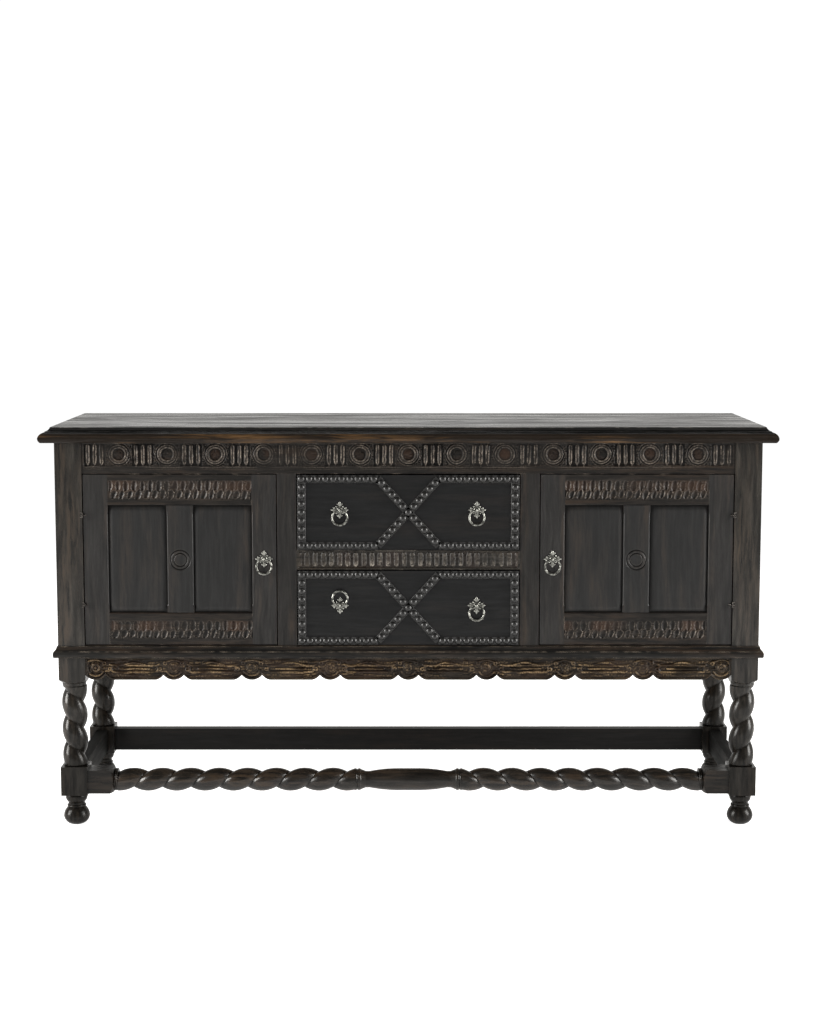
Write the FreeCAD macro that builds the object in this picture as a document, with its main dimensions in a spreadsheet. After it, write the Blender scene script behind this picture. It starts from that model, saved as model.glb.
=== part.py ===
"""Sideboard on barley-twist legs: two panelled doors, two beaded drawers, a moulded top.

Millimetres. X runs along the front to the right, Y to the back, Z up. The origin is on the floor,
under the middle of the top.
"""
import FreeCAD, Part
import Sketcher
import math
import os
import re

V = FreeCAD.Vector
X_AXIS, Y_AXIS, Z_AXIS = V(1, 0, 0), V(0, 1, 0), V(0, 0, 1)
SIDES = ((-1, "left"), (1, "right"))

# Driving sizes, one name each.
SIZES = (
    # whole object
    ("overall_height", 1016), ("top_width", 1830), ("top_depth", 557), ("top_thickness", 38),
    ("top_overhang", 35), ("overrun", 2), ("fit_gap", 0.3),
    # moulded edge of the top: a hollow, a quirk and a nosing
    ("edge_width", 27), ("edge_step", 1.5), ("hollow_width", 11), ("hollow_drop", 10),
    ("hollow_depth", 1.5), ("quirk_drop", 12), ("nose_drop", 27), ("nose_swell", 4),
    ("nose_return", 6), ("nose_return_swell", 1.5),
    # posts and legs
    ("post_size", 67), ("foot_height", 79), ("lower_block_height", 74), ("turned_height", 225),
    ("leg_twist_radius", 32), ("leg_twist_depth", 10.5), ("leg_twist_pitch", 68), ("leg_notch_rise", 63),
    ("collar_radius", 28.5), ("collar_swell", 1.5), ("collar_height", 9), ("neck_radius", 30),
    ("neck_throat_radius", 28), ("neck_throat_drop", 23), ("neck_drop", 17), ("neck_top_drop", 11),
    ("shoulder_slope", 1.6), ("core_radius", 14),
    # turned foot
    ("ovolo_radius", 25.5), ("ovolo_swell", 2), ("ovolo_height", 17), ("foot_neck_radius", 21),
    ("foot_neck_top", 56), ("foot_neck_bottom", 51), ("foot_bead_radius", 22), ("foot_bead_swell", 2),
    ("ball_radius", 33), ("ball_top", 45), ("ball_middle", 22), ("ball_flat_radius", 14),
    ("ball_low_swell", 4.9), ("ball_high_swell", 2.5),
    # rails, panels and boards of the case
    ("apron_height", 88), ("frieze_height", 78.5), ("rail_thickness", 28), ("front_setback", 1.5),
    ("rear_apron_height", 60), ("tenon_length", 20), ("tenon_thickness", 9), ("tenon_shoulder", 12),
    ("panel_rebate", 8), ("side_panel_thickness", 8), ("back_panel_thickness", 6),
    ("bottom_board_thickness", 18), ("partition_thickness", 18), ("shelf_thickness", 16),
    ("shelf_front_gap", 5), ("cleat_size", 18), ("divider_width", 48),
    ("drawer_opening_width", 559), ("drawer_rail_height", 48),
    # scallops of the front apron
    ("rosette_count", 9), ("lobe_half_width", 25.5), ("cusp_height", 12.3), ("cusp_flare", 22),
    ("cusp_flare_swell", 3.2),
    # waist moulding
    ("waist_height", 28), ("waist_projection", 12), ("waist_below_floor", 2), ("waist_top_width", 3),
    ("waist_hollow_width", 9.5), ("waist_hollow_drop", 11.5), ("waist_hollow_depth", 1.5),
    ("waist_quirk_drop", 13), ("waist_band_width", 10.5), ("waist_band_swell", 1.5),
    # stretchers
    ("stretcher_height", 60), ("stretcher_thickness", 30), ("stretcher_centre", 114),
    ("end_block_length", 66), ("end_block_depth", 61), ("ring_bead_radius", 27), ("ring_bead_swell", 1.8),
    ("ring_bead_length", 4.5), ("stretcher_twist_radius", 29.3), ("stretcher_twist_depth", 10.8),
    ("stretcher_twist_pitch", 72.5), ("stretcher_notch", 158.3), ("middle_end", 140),
    ("middle_bead_radius", 25.5), ("middle_bead_swell", 2.3), ("middle_bead_length", 10),
    ("middle_shoulder_length", 12), ("middle_neck_radius", 21),
    ("middle_neck_length", 9), ("swell_radius", 28), ("swell_flat", 30), ("swell_curve", 1.5),
    # doors
    ("door_gap", 2.5), ("door_thickness", 22), ("door_stile_width", 61), ("door_top_rail", 77),
    ("door_bottom_rail", 81), ("door_muntin_width", 67), ("door_tenon_thickness", 8),
    ("door_tenon_length", 30), ("tongue_thickness", 6), ("tongue_inset", 9), ("field_raise", 5),
    ("field_step", 1), ("field_bevel", 24), ("door_stop_width", 14), ("door_stop_height", 12),
    # drawers
    ("drawer_side_gap", 3), ("drawer_head_gap", 3.5), ("drawer_foot_gap", 2),
    ("drawer_front_thickness", 22), ("drawer_lap", 14),
    ("drawer_side_thickness", 12), ("drawer_headroom", 12.75), ("drawer_length", 440),
    ("drawer_bottom_thickness", 6), ("drawer_bottom_rise", 10), ("drawer_groove", 6),
    ("drawer_back_drop", 6), ("runner_width", 24), ("runner_thickness", 18), ("stop_inset", 180),
    ("stop_width", 30), ("stop_height", 7),
    # bead moulding on the drawers
    ("bead_radius", 9), ("bead_strip_width", 20), ("bead_strip_thickness", 2),
    ("corner_bead_count", 9), ("border_bead_count", 10), ("cross_bead_count", 11), ("cross_half", 76),
    ("cross_bead_inset", 13.6),
    # ring pulls
    ("pull_spacing", 342), ("drawer_pull_rise", 5.5), ("door_pull_rise", 2.5), ("plate_thickness", 2),
    ("plate_reach", 22.5), ("leaf_half_width", 7.5), ("leaf_middle", 14.5), ("leaf_root", 8.5),
    ("leaf_root_half", 3), ("leaf_curve", 0.8), ("knob_reach", 8.5), ("knob_curve", 1.6),
    ("pull_ring_share", 0.0980545), ("pull_wire_radius", 2.5), ("eye_standoff", 6), ("eye_radius", 5.5),
    ("eye_width", 5), ("eye_clearance", 0.5), ("boss_radius", 6.5), ("boss_height", 1.5),
    ("stalk_radius", 2.5), ("stalk_depth", 14), ("stalk_clearance", 0.1),
    # loop hinges
    ("hinge_inset", 101), ("loop_radius", 3.2), ("loop_wire_radius", 1.4), ("loop_clearance", 0.5),
    ("staple_height", 11), ("hinge_shank", 18), ("shank_clearance", 0.1),
)

# Places worked out from the sizes. Each formula may use the sizes and the places above it.
PLACES = (
    ("top_half", "top_width / 2"),
    ("top_back", "top_depth / 2"),
    ("edge_start", "top_half - edge_width"),
    ("case_half", "top_half - top_overhang"),
    ("case_front", "top_overhang - top_back"),
    ("case_back", "top_back"),
    ("case_top", "overall_height - top_thickness"),
    ("post_half", "post_size / 2"),
    ("post_inner", "case_half - post_size"),
    ("post_middle", "case_half - post_half"),
    ("front_post_middle", "case_front + post_half"),
    ("front_post_back", "case_front + post_size"),
    ("rear_post_middle", "case_back - post_half"),
    ("rear_post_front", "case_back - post_size"),
    ("face", "case_front + front_setback"),
    ("rail_back", "face + rail_thickness"),
    ("rear_rail_back", "case_back - front_setback"),
    ("rear_rail_front", "rear_rail_back - rail_thickness"),
    ("side_rail_outer", "case_half - front_setback"),
    ("side_rail_inner", "side_rail_outer - rail_thickness"),
    ("block_top", "foot_height + lower_block_height"),
    ("block_bottom", "block_top + turned_height"),
    ("floor_level", "block_bottom + apron_height"),
    ("frieze_bottom", "case_top - frieze_height"),
    ("drawer_opening", "(frieze_bottom - floor_level - drawer_rail_height) / 2"),
    ("pull_ring_radius", "drawer_opening * pull_ring_share"),
    ("drawer_rail_bottom", "floor_level + drawer_opening"),
    ("drawer_rail_top", "drawer_rail_bottom + drawer_rail_height"),
    ("divider_inner", "drawer_opening_width / 2"),
    ("divider_outer", "divider_inner + divider_width"),
    ("partition_outer", "divider_inner + partition_thickness"),
    ("shelf_bottom", "(floor_level + frieze_bottom - shelf_thickness) / 2"),
    ("shelf_top", "shelf_bottom + shelf_thickness"),
    ("rosette_pitch", "(post_inner - lobe_half_width) * 2 / (rosette_count - 1)"),
    ("waist_top", "floor_level - waist_below_floor"),
    ("waist_bottom", "waist_top - waist_height"),
    ("door_outer", "post_inner - door_gap"),
    ("door_inner", "divider_outer + door_gap"),
    ("door_bottom", "floor_level + door_gap"),
    ("door_top", "frieze_bottom - door_gap"),
    ("door_back", "face + door_thickness"),
    ("door_middle_depth", "face + door_thickness / 2"),
    ("outer_stile_edge", "door_outer - door_stile_width"),
    ("inner_stile_edge", "door_inner + door_stile_width"),
    ("muntin_middle", "(outer_stile_edge + inner_stile_edge) / 2"),
    ("muntin_inner", "muntin_middle - door_muntin_width / 2"),
    ("muntin_outer", "muntin_middle + door_muntin_width / 2"),
    ("low_rail_edge", "door_bottom + door_bottom_rail"),
    ("high_rail_edge", "door_top - door_top_rail"),
    ("tongue_front", "face + tongue_inset"),
    ("tongue_back", "tongue_front + tongue_thickness"),
    ("field_front", "tongue_front - field_raise"),
    ("drawer_half", "divider_inner - drawer_side_gap"),
    ("drawer_inner_half", "drawer_half - drawer_side_thickness"),
    ("drawer_front_back", "face + drawer_front_thickness"),
    ("drawer_end", "drawer_front_back + drawer_length"),
    ("drawer_side_height", "drawer_opening - drawer_headroom"),
    ("stretcher_low", "stretcher_centre - stretcher_height / 2"),
    ("stretcher_high", "stretcher_centre + stretcher_height / 2"),
    ("end_block_inner", "post_inner - end_block_length"),
    ("twist_outer", "end_block_inner - 2 * ring_bead_length"),
    ("middle_shoulder", "middle_end - 2 * middle_bead_length"),
    ("middle_neck", "middle_shoulder - middle_shoulder_length"),
    ("swell_end", "middle_neck - middle_neck_length"),
    ("eye_hole_radius", "pull_wire_radius + eye_clearance"),
    ("eye_reach", "plate_thickness + eye_standoff"),
    ("door_pull_x", "door_inner + door_stile_width / 2"),
    ("door_pull_z", "(door_bottom + door_top) / 2 + door_pull_rise"),
    ("loop_reach", "loop_radius + loop_wire_radius"),
    ("hinge_x", "post_inner - door_gap / 2"),
    ("hinge_y", "case_front - loop_reach - loop_clearance"),
)

doc = FreeCAD.newDocument("sideboard")
OWNER = dict([(name, "Sizes") for name, number in SIZES] + [(name, "Places") for name, formula in PLACES])


def bound(formula):
    """The formula with each name written as a reference to its sheet."""
    def reference(word):
        name = word.group()
        return OWNER[name] + "." + name if name in OWNER else name

    return re.sub(r"[a-z][a-z0-9_]*", reference, formula)


def filled(label, rows):
    """A sheet of named cells: the name in column A, what it holds in column B."""
    sheet = doc.addObject("Spreadsheet::Sheet", label)
    for row, (name, content) in enumerate(rows, start=1):
        sheet.set("A%d" % row, name)
        sheet.set("B%d" % row, content)
        sheet.setAlias("B%d" % row, name)
    doc.recompute()
    return sheet


filled("Sizes", [(name, str(number)) for name, number in SIZES])
filled("Places", [(name, "=" + bound(formula)) for name, formula in PLACES])
reader = doc.addObject("Spreadsheet::Sheet", "Reader")


def value(formula):
    """What a formula of named sizes and places comes to."""
    reader.set("A1", "=" + bound(formula))
    reader.recompute()
    return float(reader.get("A1"))


subparts = []


def keep(piece, node):
    """Name a finished sub-part and put it on the list of files to write."""
    piece.Label = node
    subparts.append(piece)
    return piece


def put(piece, x, y, z):
    """Bind the place of a piece to the sheets."""
    for axis, formula in zip("xyz", (x, y, z)):
        piece.setExpression("Placement.Base." + axis, bound(formula))
    return piece


def turned(piece, axis, degrees):
    """Turn a piece about an axis through its own origin."""
    piece.Placement = FreeCAD.Placement(V(), FreeCAD.Rotation(axis, degrees))
    return piece


def board(label, x, y, z):
    """A rectangular piece between two places on each axis."""
    piece = doc.addObject("Part::Box", label)
    for side, (low, high) in zip(("Length", "Width", "Height"), (x, y, z)):
        piece.setExpression(side, bound("(%s) - (%s)" % (high, low)))
    return put(piece, x[0], y[0], z[0])


def rod(label, radius, length, x, y, z, direction=Z_AXIS):
    """A round bar from one place, along a direction."""
    piece = doc.addObject("Part::Cylinder", label)
    piece.Placement = FreeCAD.Placement(V(), FreeCAD.Rotation(Z_AXIS, direction))
    piece.setExpression("Radius", bound(radius))
    piece.setExpression("Height", bound(length))
    return put(piece, x, y, z)


def ball(label, radius, x, y, z):
    """A round ball about one place."""
    piece = doc.addObject("Part::Sphere", label)
    piece.setExpression("Radius", bound(radius))
    return put(piece, x, y, z)


def hoop(label, radius, wire, x, y, z, normal=Z_AXIS):
    """A closed ring of round wire."""
    piece = doc.addObject("Part::Torus", label)
    piece.Placement = FreeCAD.Placement(V(), FreeCAD.Rotation(Z_AXIS, normal))
    piece.setExpression("Radius1", bound(radius))
    piece.setExpression("Radius2", bound(wire))
    return put(piece, x, y, z)


def joined(label, pieces):
    """Pieces fused into one solid."""
    result = doc.addObject("Part::MultiFuse", label)
    result.Shapes = pieces
    result.Refine = True
    return result


def cut(label, base, tools):
    """A piece with the space of its tools taken away."""
    result = doc.addObject("Part::Cut", label)
    result.Base = base
    result.Tool = tools[0] if len(tools) == 1 else group(label + "_tools", tools)
    return result


def common(label, pieces):
    """The space that all the pieces share."""
    result = doc.addObject("Part::MultiCommon", label)
    result.Shapes = pieces
    return result


def group(label, pieces):
    """Separate solids held as one."""
    result = doc.addObject("Part::Compound", label)
    result.Links = pieces
    return result


def mirrored(label, source):
    """The same piece on the other side of the middle."""
    result = doc.addObject("Part::Mirroring", label)
    result.Source = source
    result.Base = V()
    result.Normal = X_AXIS
    return result


def span(side, inner, outer):
    """The low and high place of a stretch on the left (-1) or right (1) of the middle."""
    return (inner, outer) if side > 0 else ("-(%s)" % outer, "-(%s)" % inner)


def signed(side, formula):
    """A place on the left (-1) or right (1) of the middle."""
    return formula if side > 0 else "-(%s)" % formula


def about(middle, width):
    """The low and high place of a stretch about its middle."""
    return "(%s) - (%s) / 2" % (middle, width), "(%s) + (%s) / 2" % (middle, width)


# Sketched pieces: each corner is (across, up, rise). The rise is None where a straight edge follows,
# and otherwise the height of the arc that follows, positive to the left of the way.

def flipped(corners):
    """The mirror image of a run of corners, across the vertical axis of its plane."""
    return [("-(%s)" % corners[number][0], corners[number][1], corners[number - 1][2])
            for number in reversed(range(len(corners)))]


def both_ways(half):
    """A run of corners on the right, its mirror image on the left, and the edges that join them."""
    return half + flipped(half)


def sketched(label, role, corners):
    """A new body with one closed sketch on one of its planes, every corner bound to the sheets."""
    body = doc.addObject("PartDesign::Body", label)
    sketch = body.newObject("Sketcher::SketchObject", label + "_outline")
    plane = [feature for feature in body.Origin.OriginFeatures if feature.Role == role][0]
    sketch.AttachmentSupport = [(plane, "")]
    sketch.MapMode = "FlatFace"
    places = [V(value(across), value(up), 0) for across, up, rise in corners]
    edges, ends, formulas, constraints = [], [], [], []
    for number, (across, up, rise) in enumerate(corners):
        following = (number + 1) % len(corners)
        start, end = places[number], places[following]
        first, last = 1, 2
        if rise is None:
            edges.append(Part.LineSegment(start, end))
        else:
            height = value(rise)
            chord = end - start
            left = V(-chord.y, chord.x, 0).normalize()
            edges.append(Part.Arc(start, (start + end) / 2 + left * height, end))
            if height > 0:
                first, last = 2, 1
        ends.append((first, last))
    for number, (across, up, rise) in enumerate(corners):
        following = (number + 1) % len(corners)
        first = ends[number][0]
        place = places[number]
        for way, formula, distance in (("DistanceX", across, place.x), ("DistanceY", up, place.y)):
            formulas.append((len(constraints), formula))
            constraints.append(Sketcher.Constraint(way, number, first, distance))
        constraints.append(Sketcher.Constraint("Coincident", number, ends[number][1],
                                               following, ends[following][0]))
        if rise is not None:
            next_across, next_up = corners[following][:2]
            width = "((%s) - (%s)) ^ 2 + ((%s) - (%s)) ^ 2" % (next_across, across, next_up, up)
            radius = "(%s) / (8 * abs(%s)) + abs(%s) / 2" % (width, rise, rise)
            formulas.append((len(constraints), radius))
            constraints.append(Sketcher.Constraint("Radius", number, value(radius)))
    sketch.addGeometry(edges)
    sketch.addConstraint(constraints)
    for number, formula in formulas:
        sketch.setExpression("Constraints[%d]" % number, bound(formula))
    return body, sketch


def slab(label, role, corners, low, high):
    """The outline on a plane, from one place to another along the plane's axis."""
    body, sketch = sketched(label, role, corners)
    offset = "-(%s)" % high if role == "XZ_Plane" else low
    sketch.setExpression("AttachmentOffset.Base.z", bound(offset))
    pad = body.newObject("PartDesign::Pad", label + "_pad")
    pad.Profile = sketch
    pad.setExpression("Length", bound("(%s) - (%s)" % (high, low)))
    return body


def lathe(label, corners, axis="V_Axis"):
    """The outline turned about the vertical or the horizontal axis of its plane."""
    body, sketch = sketched(label, "XZ_Plane", corners)
    revolution = body.newObject("PartDesign::Revolution", label + "_turning")
    revolution.Profile = sketch
    revolution.ReferenceAxis = (sketch, [axis])
    revolution.Angle = 360
    return body


def twist(label, radius, depth, pitch, low, high, notch, notch_angle, hand):
    """A barley twist about Z: one swelling strand with a sharp groove, turning by its pitch.

    The groove faces notch_angle at the height of the notch, and hand is 1 for a right-handed strand.
    The strand swells from groove to groove in an arc of a circle.
    """
    radius, depth, pitch, low, high, notch = [value(name) for name in (radius, depth, pitch, low, high, notch)]
    half_chord = pitch / 2
    swell_arc = (half_chord ** 2 + depth ** 2) / (2 * depth)
    groove = notch_angle - hand * 2 * math.pi * (notch - low) / pitch
    steps = 12
    points = []
    for step in range(steps + 1):
        share = 2 * step / steps - 1
        swell = math.sqrt(swell_arc ** 2 - (share * half_chord) ** 2) - (swell_arc - depth)
        angle = groove + math.pi * (1 + share)
        reach = radius - depth + swell
        points.append(V(reach * math.cos(angle), reach * math.sin(angle), low))
    curve = Part.BSplineCurve()
    curve.interpolate(points)
    guide = Part.makeHelix(pitch, high - low, radius, 0, hand < 0)
    guide.translate(V(0, 0, low))
    pipe = Part.BRepOffsetAPI.MakePipeShell(Part.Wire([Part.makeLine(V(0, 0, low), V(0, 0, high))]))
    pipe.setAuxiliarySpine(Part.Wire(guide), True, 0)
    pipe.add(Part.Wire([curve.toShape()]))
    pipe.build()
    pipe.makeSolid()
    piece = doc.addObject("Part::Feature", label)
    piece.Shape = pipe.shape()
    return piece


# Joinery of the case. Each tenon is also the tool that cuts its mortise.
mortises = {"front": [], "rear": []}


def between_shoulders(z):
    """The height of a tenon, set in from the edges of its rail."""
    return "(%s) + tenon_shoulder" % z[0], "(%s) - tenon_shoulder" % z[1]


def end_tenons(label, post, y, z):
    """A tenon into the post at each end of a rail along the front or the back."""
    middle = about("((%s) + (%s)) / 2" % y, "tenon_thickness")
    tenons = [board("%s_tenon_%s" % (label, word), span(side, "post_inner", "post_inner + tenon_length"), middle,
                    between_shoulders(z)) for side, word in SIDES]
    mortises[post].append(tenons[0])
    return tenons


def cross_rail(label, post, y, z):
    """A rail along the front or the back, with its two tenons."""
    return [board(label + "_length", ("-post_inner", "post_inner"), y, z)] + end_tenons(label, post, y, z)


def side_rail(label, x, z):
    """A rail on the left side, from the front post to the rear post."""
    length = board(label + "_length", x, ("front_post_back", "rear_post_front"), z)
    middle = about("((%s) + (%s)) / 2" % x, "tenon_thickness")
    height = between_shoulders(z)
    front = board(label + "_front_tenon", middle, ("front_post_back - tenon_length", "front_post_back"), height)
    rear = board(label + "_rear_tenon", middle, ("rear_post_front", "rear_post_front + tenon_length"), height)
    mortises["front"].append(front)
    mortises["rear"].append(rear)
    return joined(label + "_blank", [length, front, rear])


# Top board: the moulded edge runs round the front and both sides and meets in mitres.

def edge_profile(outer, start):
    """The moulded edge from the underside to the flat of the top, on the right."""
    return [
        (outer + " - nose_return", "case_top", "-nose_return_swell"),
        (outer, "overall_height - nose_drop", "-nose_swell"),
        (start + " + hollow_width", "overall_height - quirk_drop", None),
        (start + " + hollow_width", "overall_height - hollow_drop", "hollow_depth"),
        (start, "overall_height - edge_step", None),
        (start, "overall_height", None),
    ]


across = slab("top_across", "XZ_Plane", both_ways(edge_profile("top_half", "edge_start")),
              "-top_back - overrun", "top_back")
behind = [("-top_back - overrun", "overall_height", None), ("-top_back - overrun", "case_top", None)]
along = slab("top_along", "YZ_Plane", flipped(edge_profile("top_back", "top_back - edge_width") + behind),
             "-top_half - overrun", "top_half + overrun")
keep(common("top_blank", [across, along]), "top_board")

# Front frame.
FRONT = ("face", "rail_back")
frieze = cross_rail("frieze", "front", FRONT, ("frieze_bottom", "case_top"))

scallops = [("post_inner", "floor_level", None), ("-post_inner", "floor_level", None),
            ("-post_inner", "block_bottom + cusp_height", "-cusp_height")]
outer_rosette = int(value("(rosette_count - 1) / 2"))
for number in range(-outer_rosette, outer_rosette + 1):
    rosette = "%d * rosette_pitch" % number
    if number > -outer_rosette:
        scallops.append((rosette + " - lobe_half_width", "block_bottom + cusp_height", "-cusp_height"))
    if number < outer_rosette:
        following = "%d * rosette_pitch" % (number + 1)
        scallops += [
            (rosette + " + lobe_half_width", "block_bottom + cusp_height", "-cusp_flare_swell"),
            (rosette + " + lobe_half_width + cusp_flare", "block_bottom", None),
            (following + " - lobe_half_width - cusp_flare", "block_bottom", "-cusp_flare_swell"),
        ]
scallops.append(("post_inner", "block_bottom + cusp_height", None))
apron_board = slab("apron_board", "XZ_Plane", scallops, *FRONT)
apron = [apron_board] + end_tenons("apron", "front", FRONT, ("block_bottom + cusp_height", "floor_level"))

stiles, divider_tenons, rail_tenons = [], [], []
drawer_rail = [board("drawer_rail_length", ("-divider_inner", "divider_inner"), FRONT,
                     ("drawer_rail_bottom", "drawer_rail_top"))]
TENON_DEPTH = about("(face + rail_back) / 2", "tenon_thickness")
for side, word in SIDES:
    rail_tenons.append(board("drawer_rail_tenon_" + word,
                             span(side, "divider_inner", "divider_inner + tenon_length"), TENON_DEPTH,
                             between_shoulders(("drawer_rail_bottom", "drawer_rail_top"))))
    blank = board("divider_length_" + word, span(side, "divider_inner", "divider_outer"), FRONT,
                  ("floor_level", "frieze_bottom"))
    width = span(side, "divider_inner + tenon_shoulder", "divider_outer - tenon_shoulder")
    high = board("divider_high_tenon_" + word, width, TENON_DEPTH,
                 ("frieze_bottom", "frieze_bottom + tenon_length"))
    low = board("divider_low_tenon_" + word, width, TENON_DEPTH,
                ("floor_level - tenon_length", "floor_level"))
    divider_tenons += [high, low]
    stile = cut("divider_cut_" + word, joined("divider_blank_" + word, [blank, high, low]), [rail_tenons[-1]])
    keep(stile, "divider_stile_" + word)
keep(joined("drawer_rail_blank", drawer_rail + rail_tenons), "drawer_rail")
keep(cut("frieze_cut", joined("frieze_blank", frieze), divider_tenons[0::2]), "frieze_rail")
keep(cut("apron_cut", joined("apron_blank", apron), divider_tenons[1::2]), "front_apron")

# Side and rear frames, with panels let into posts and rails.
SIDE = span(-1, "side_rail_inner", "side_rail_outer")
REAR = ("rear_rail_front", "rear_rail_back")
side_panel = board("side_panel_board", span(-1, "side_rail_inner", "side_rail_inner + side_panel_thickness"),
                   ("front_post_back - panel_rebate", "rear_post_front + panel_rebate"),
                   ("floor_level - panel_rebate", "frieze_bottom + panel_rebate"))
back_panel = board("back_panel_board", ("-post_inner - panel_rebate", "post_inner + panel_rebate"),
                   ("rear_rail_front", "rear_rail_front + back_panel_thickness"),
                   ("floor_level - panel_rebate", "frieze_bottom + panel_rebate"))
side_top = cut("side_top_cut", side_rail("side_top", SIDE, ("frieze_bottom", "case_top")), [side_panel])
side_apron = cut("side_apron_cut", side_rail("side_apron", SIDE, ("block_bottom", "floor_level")), [side_panel])
rear_top = joined("rear_top_blank", cross_rail("rear_top", "rear", REAR, ("frieze_bottom", "case_top")))
rear_apron = joined("rear_apron_blank",
                    cross_rail("rear_apron", "rear", REAR, ("floor_level - rear_apron_height", "floor_level")))
keep(group("side_top_pair", [side_top, mirrored("side_top_mirror", side_top)]), "side_top_rails")
keep(side_apron, "side_apron_left")
keep(mirrored("side_apron_mirror", side_apron), "side_apron_right")
keep(cut("rear_top_cut", rear_top, [back_panel]), "rear_top_rail")
keep(cut("rear_apron_cut", rear_apron, [back_panel]), "rear_apron")
keep(group("side_panel_pair", [side_panel, mirrored("side_panel_mirror", side_panel)]), "side_panels")
keep(back_panel, "back_panel")
mortises["front"].append(side_panel)
mortises["rear"] += [side_panel, back_panel]

# Stretchers. The front one is turned and twisted between square end blocks.
STRETCHER = ("stretcher_low", "stretcher_high")
side_stretcher = side_rail("side_stretcher", about("-post_middle", "stretcher_thickness"), STRETCHER)
keep(side_stretcher, "side_stretcher_left")
keep(mirrored("side_stretcher_mirror", side_stretcher), "side_stretcher_right")
keep(joined("rear_stretcher_blank",
            cross_rail("rear_stretcher", "rear", about("rear_post_middle", "stretcher_thickness"), STRETCHER)),
     "rear_stretcher")

END_DEPTH = about("front_post_middle", "end_block_depth")
front_tenons = end_tenons("front_stretcher", "front", END_DEPTH, STRETCHER)
turning = lathe("stretcher_turning", both_ways([
    ("end_block_inner + overrun", "0", None),
    ("end_block_inner + overrun", "core_radius", None),
    ("end_block_inner", "core_radius", None),
    ("end_block_inner", "ring_bead_radius", "-ring_bead_swell"),
    ("end_block_inner - ring_bead_length", "ring_bead_radius", "-ring_bead_swell"),
    ("twist_outer", "ring_bead_radius", None),
    ("twist_outer", "core_radius", None),
    ("middle_end", "core_radius", None),
    ("middle_end", "middle_bead_radius", "-middle_bead_swell"),
    ("middle_end - middle_bead_length", "middle_bead_radius", "-middle_bead_swell"),
    ("middle_shoulder", "middle_bead_radius", None),
    ("middle_neck", "middle_neck_radius", None),
    ("swell_end", "middle_neck_radius", "-swell_curve"),
    ("swell_flat", "swell_radius", None),
]), "H_Axis")
put(turning, "0", "front_post_middle", "stretcher_centre")
shoulder = lathe("end_block_shoulder", [
    ("end_block_inner", "0", None),
    ("post_inner + overrun", "0", None),
    ("post_inner + overrun", "end_block_depth", None),
    ("end_block_inner + (end_block_depth - ring_bead_radius) / shoulder_slope", "end_block_depth", None),
    ("end_block_inner", "ring_bead_radius", None),
], "H_Axis")
put(shoulder, "0", "front_post_middle", "stretcher_centre")
end_square = board("end_block_square", ("end_block_inner", "post_inner"), END_DEPTH, STRETCHER)
end_block = common("end_block", [end_square, shoulder])
strand = twist("stretcher_strand", "stretcher_twist_radius", "stretcher_twist_depth", "stretcher_twist_pitch",
               "middle_end - middle_bead_length / 2", "twist_outer + ring_bead_length / 2", "stretcher_notch",
               math.pi, 1)
put(turned(strand, Y_AXIS, 90), "0", "front_post_middle", "stretcher_centre")
half_stretcher = joined("half_stretcher", [end_block, strand])
keep(joined("front_stretcher_blank", [turning, half_stretcher, mirrored("half_stretcher_mirror", half_stretcher)]
            + front_tenons), "front_stretcher")

# Loop hinges: an eye on the door turns about the upright of a staple in the post. They stand just in
# front of the gap between door and post.
staples, eyes, staple_holes, eye_holes = [], [], [], []
INTO_POST, INTO_DOOR = V(-1, 1, 0), V(1, 1, 0)
for place, height in (("low", "door_bottom + hinge_inset"), ("high", "door_top - hinge_inset")):
    bar = rod("staple_bar_" + place, "loop_wire_radius", "staple_height", "-hinge_x", "hinge_y",
              "(%s) - staple_height / 2" % height)
    pieces = [bar]
    for end, rise in (("bottom", "-staple_height / 2"), ("top", "staple_height / 2")):
        tag = "%s_%s" % (place, end)
        at = ("-hinge_x", "hinge_y", "(%s) + (%s)" % (height, rise))
        pieces.append(ball("staple_corner_" + tag, "loop_wire_radius", *at))
        pieces.append(rod("staple_shank_" + tag, "loop_wire_radius", "hinge_shank", *at, INTO_POST))
        staple_holes.append(rod("staple_hole_" + tag, "loop_wire_radius + shank_clearance", "hinge_shank", *at,
                                INTO_POST))
    staples.append(joined("staple_" + place, pieces))
    eye_ring = hoop("eye_ring_" + place, "loop_radius", "loop_wire_radius", "-hinge_x", "hinge_y", height)
    at = ("-hinge_x + loop_radius / sqrt(2)", "hinge_y + loop_radius / sqrt(2)", height)
    shank = rod("eye_shank_" + place, "loop_wire_radius", "hinge_shank", *at, INTO_DOOR)
    eye_holes.append(rod("eye_hole_" + place, "loop_wire_radius + shank_clearance", "hinge_shank", *at,
                         INTO_DOOR))
    eyes.append(joined("hinge_eye_" + place, [eye_ring, shank]))
mortises["front"] += staple_holes
keep(group("hinge_staple_set", staples + [mirrored("staple_mirror_%d" % number, staple)
                                          for number, staple in enumerate(staples)]), "hinge_staples")

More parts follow.
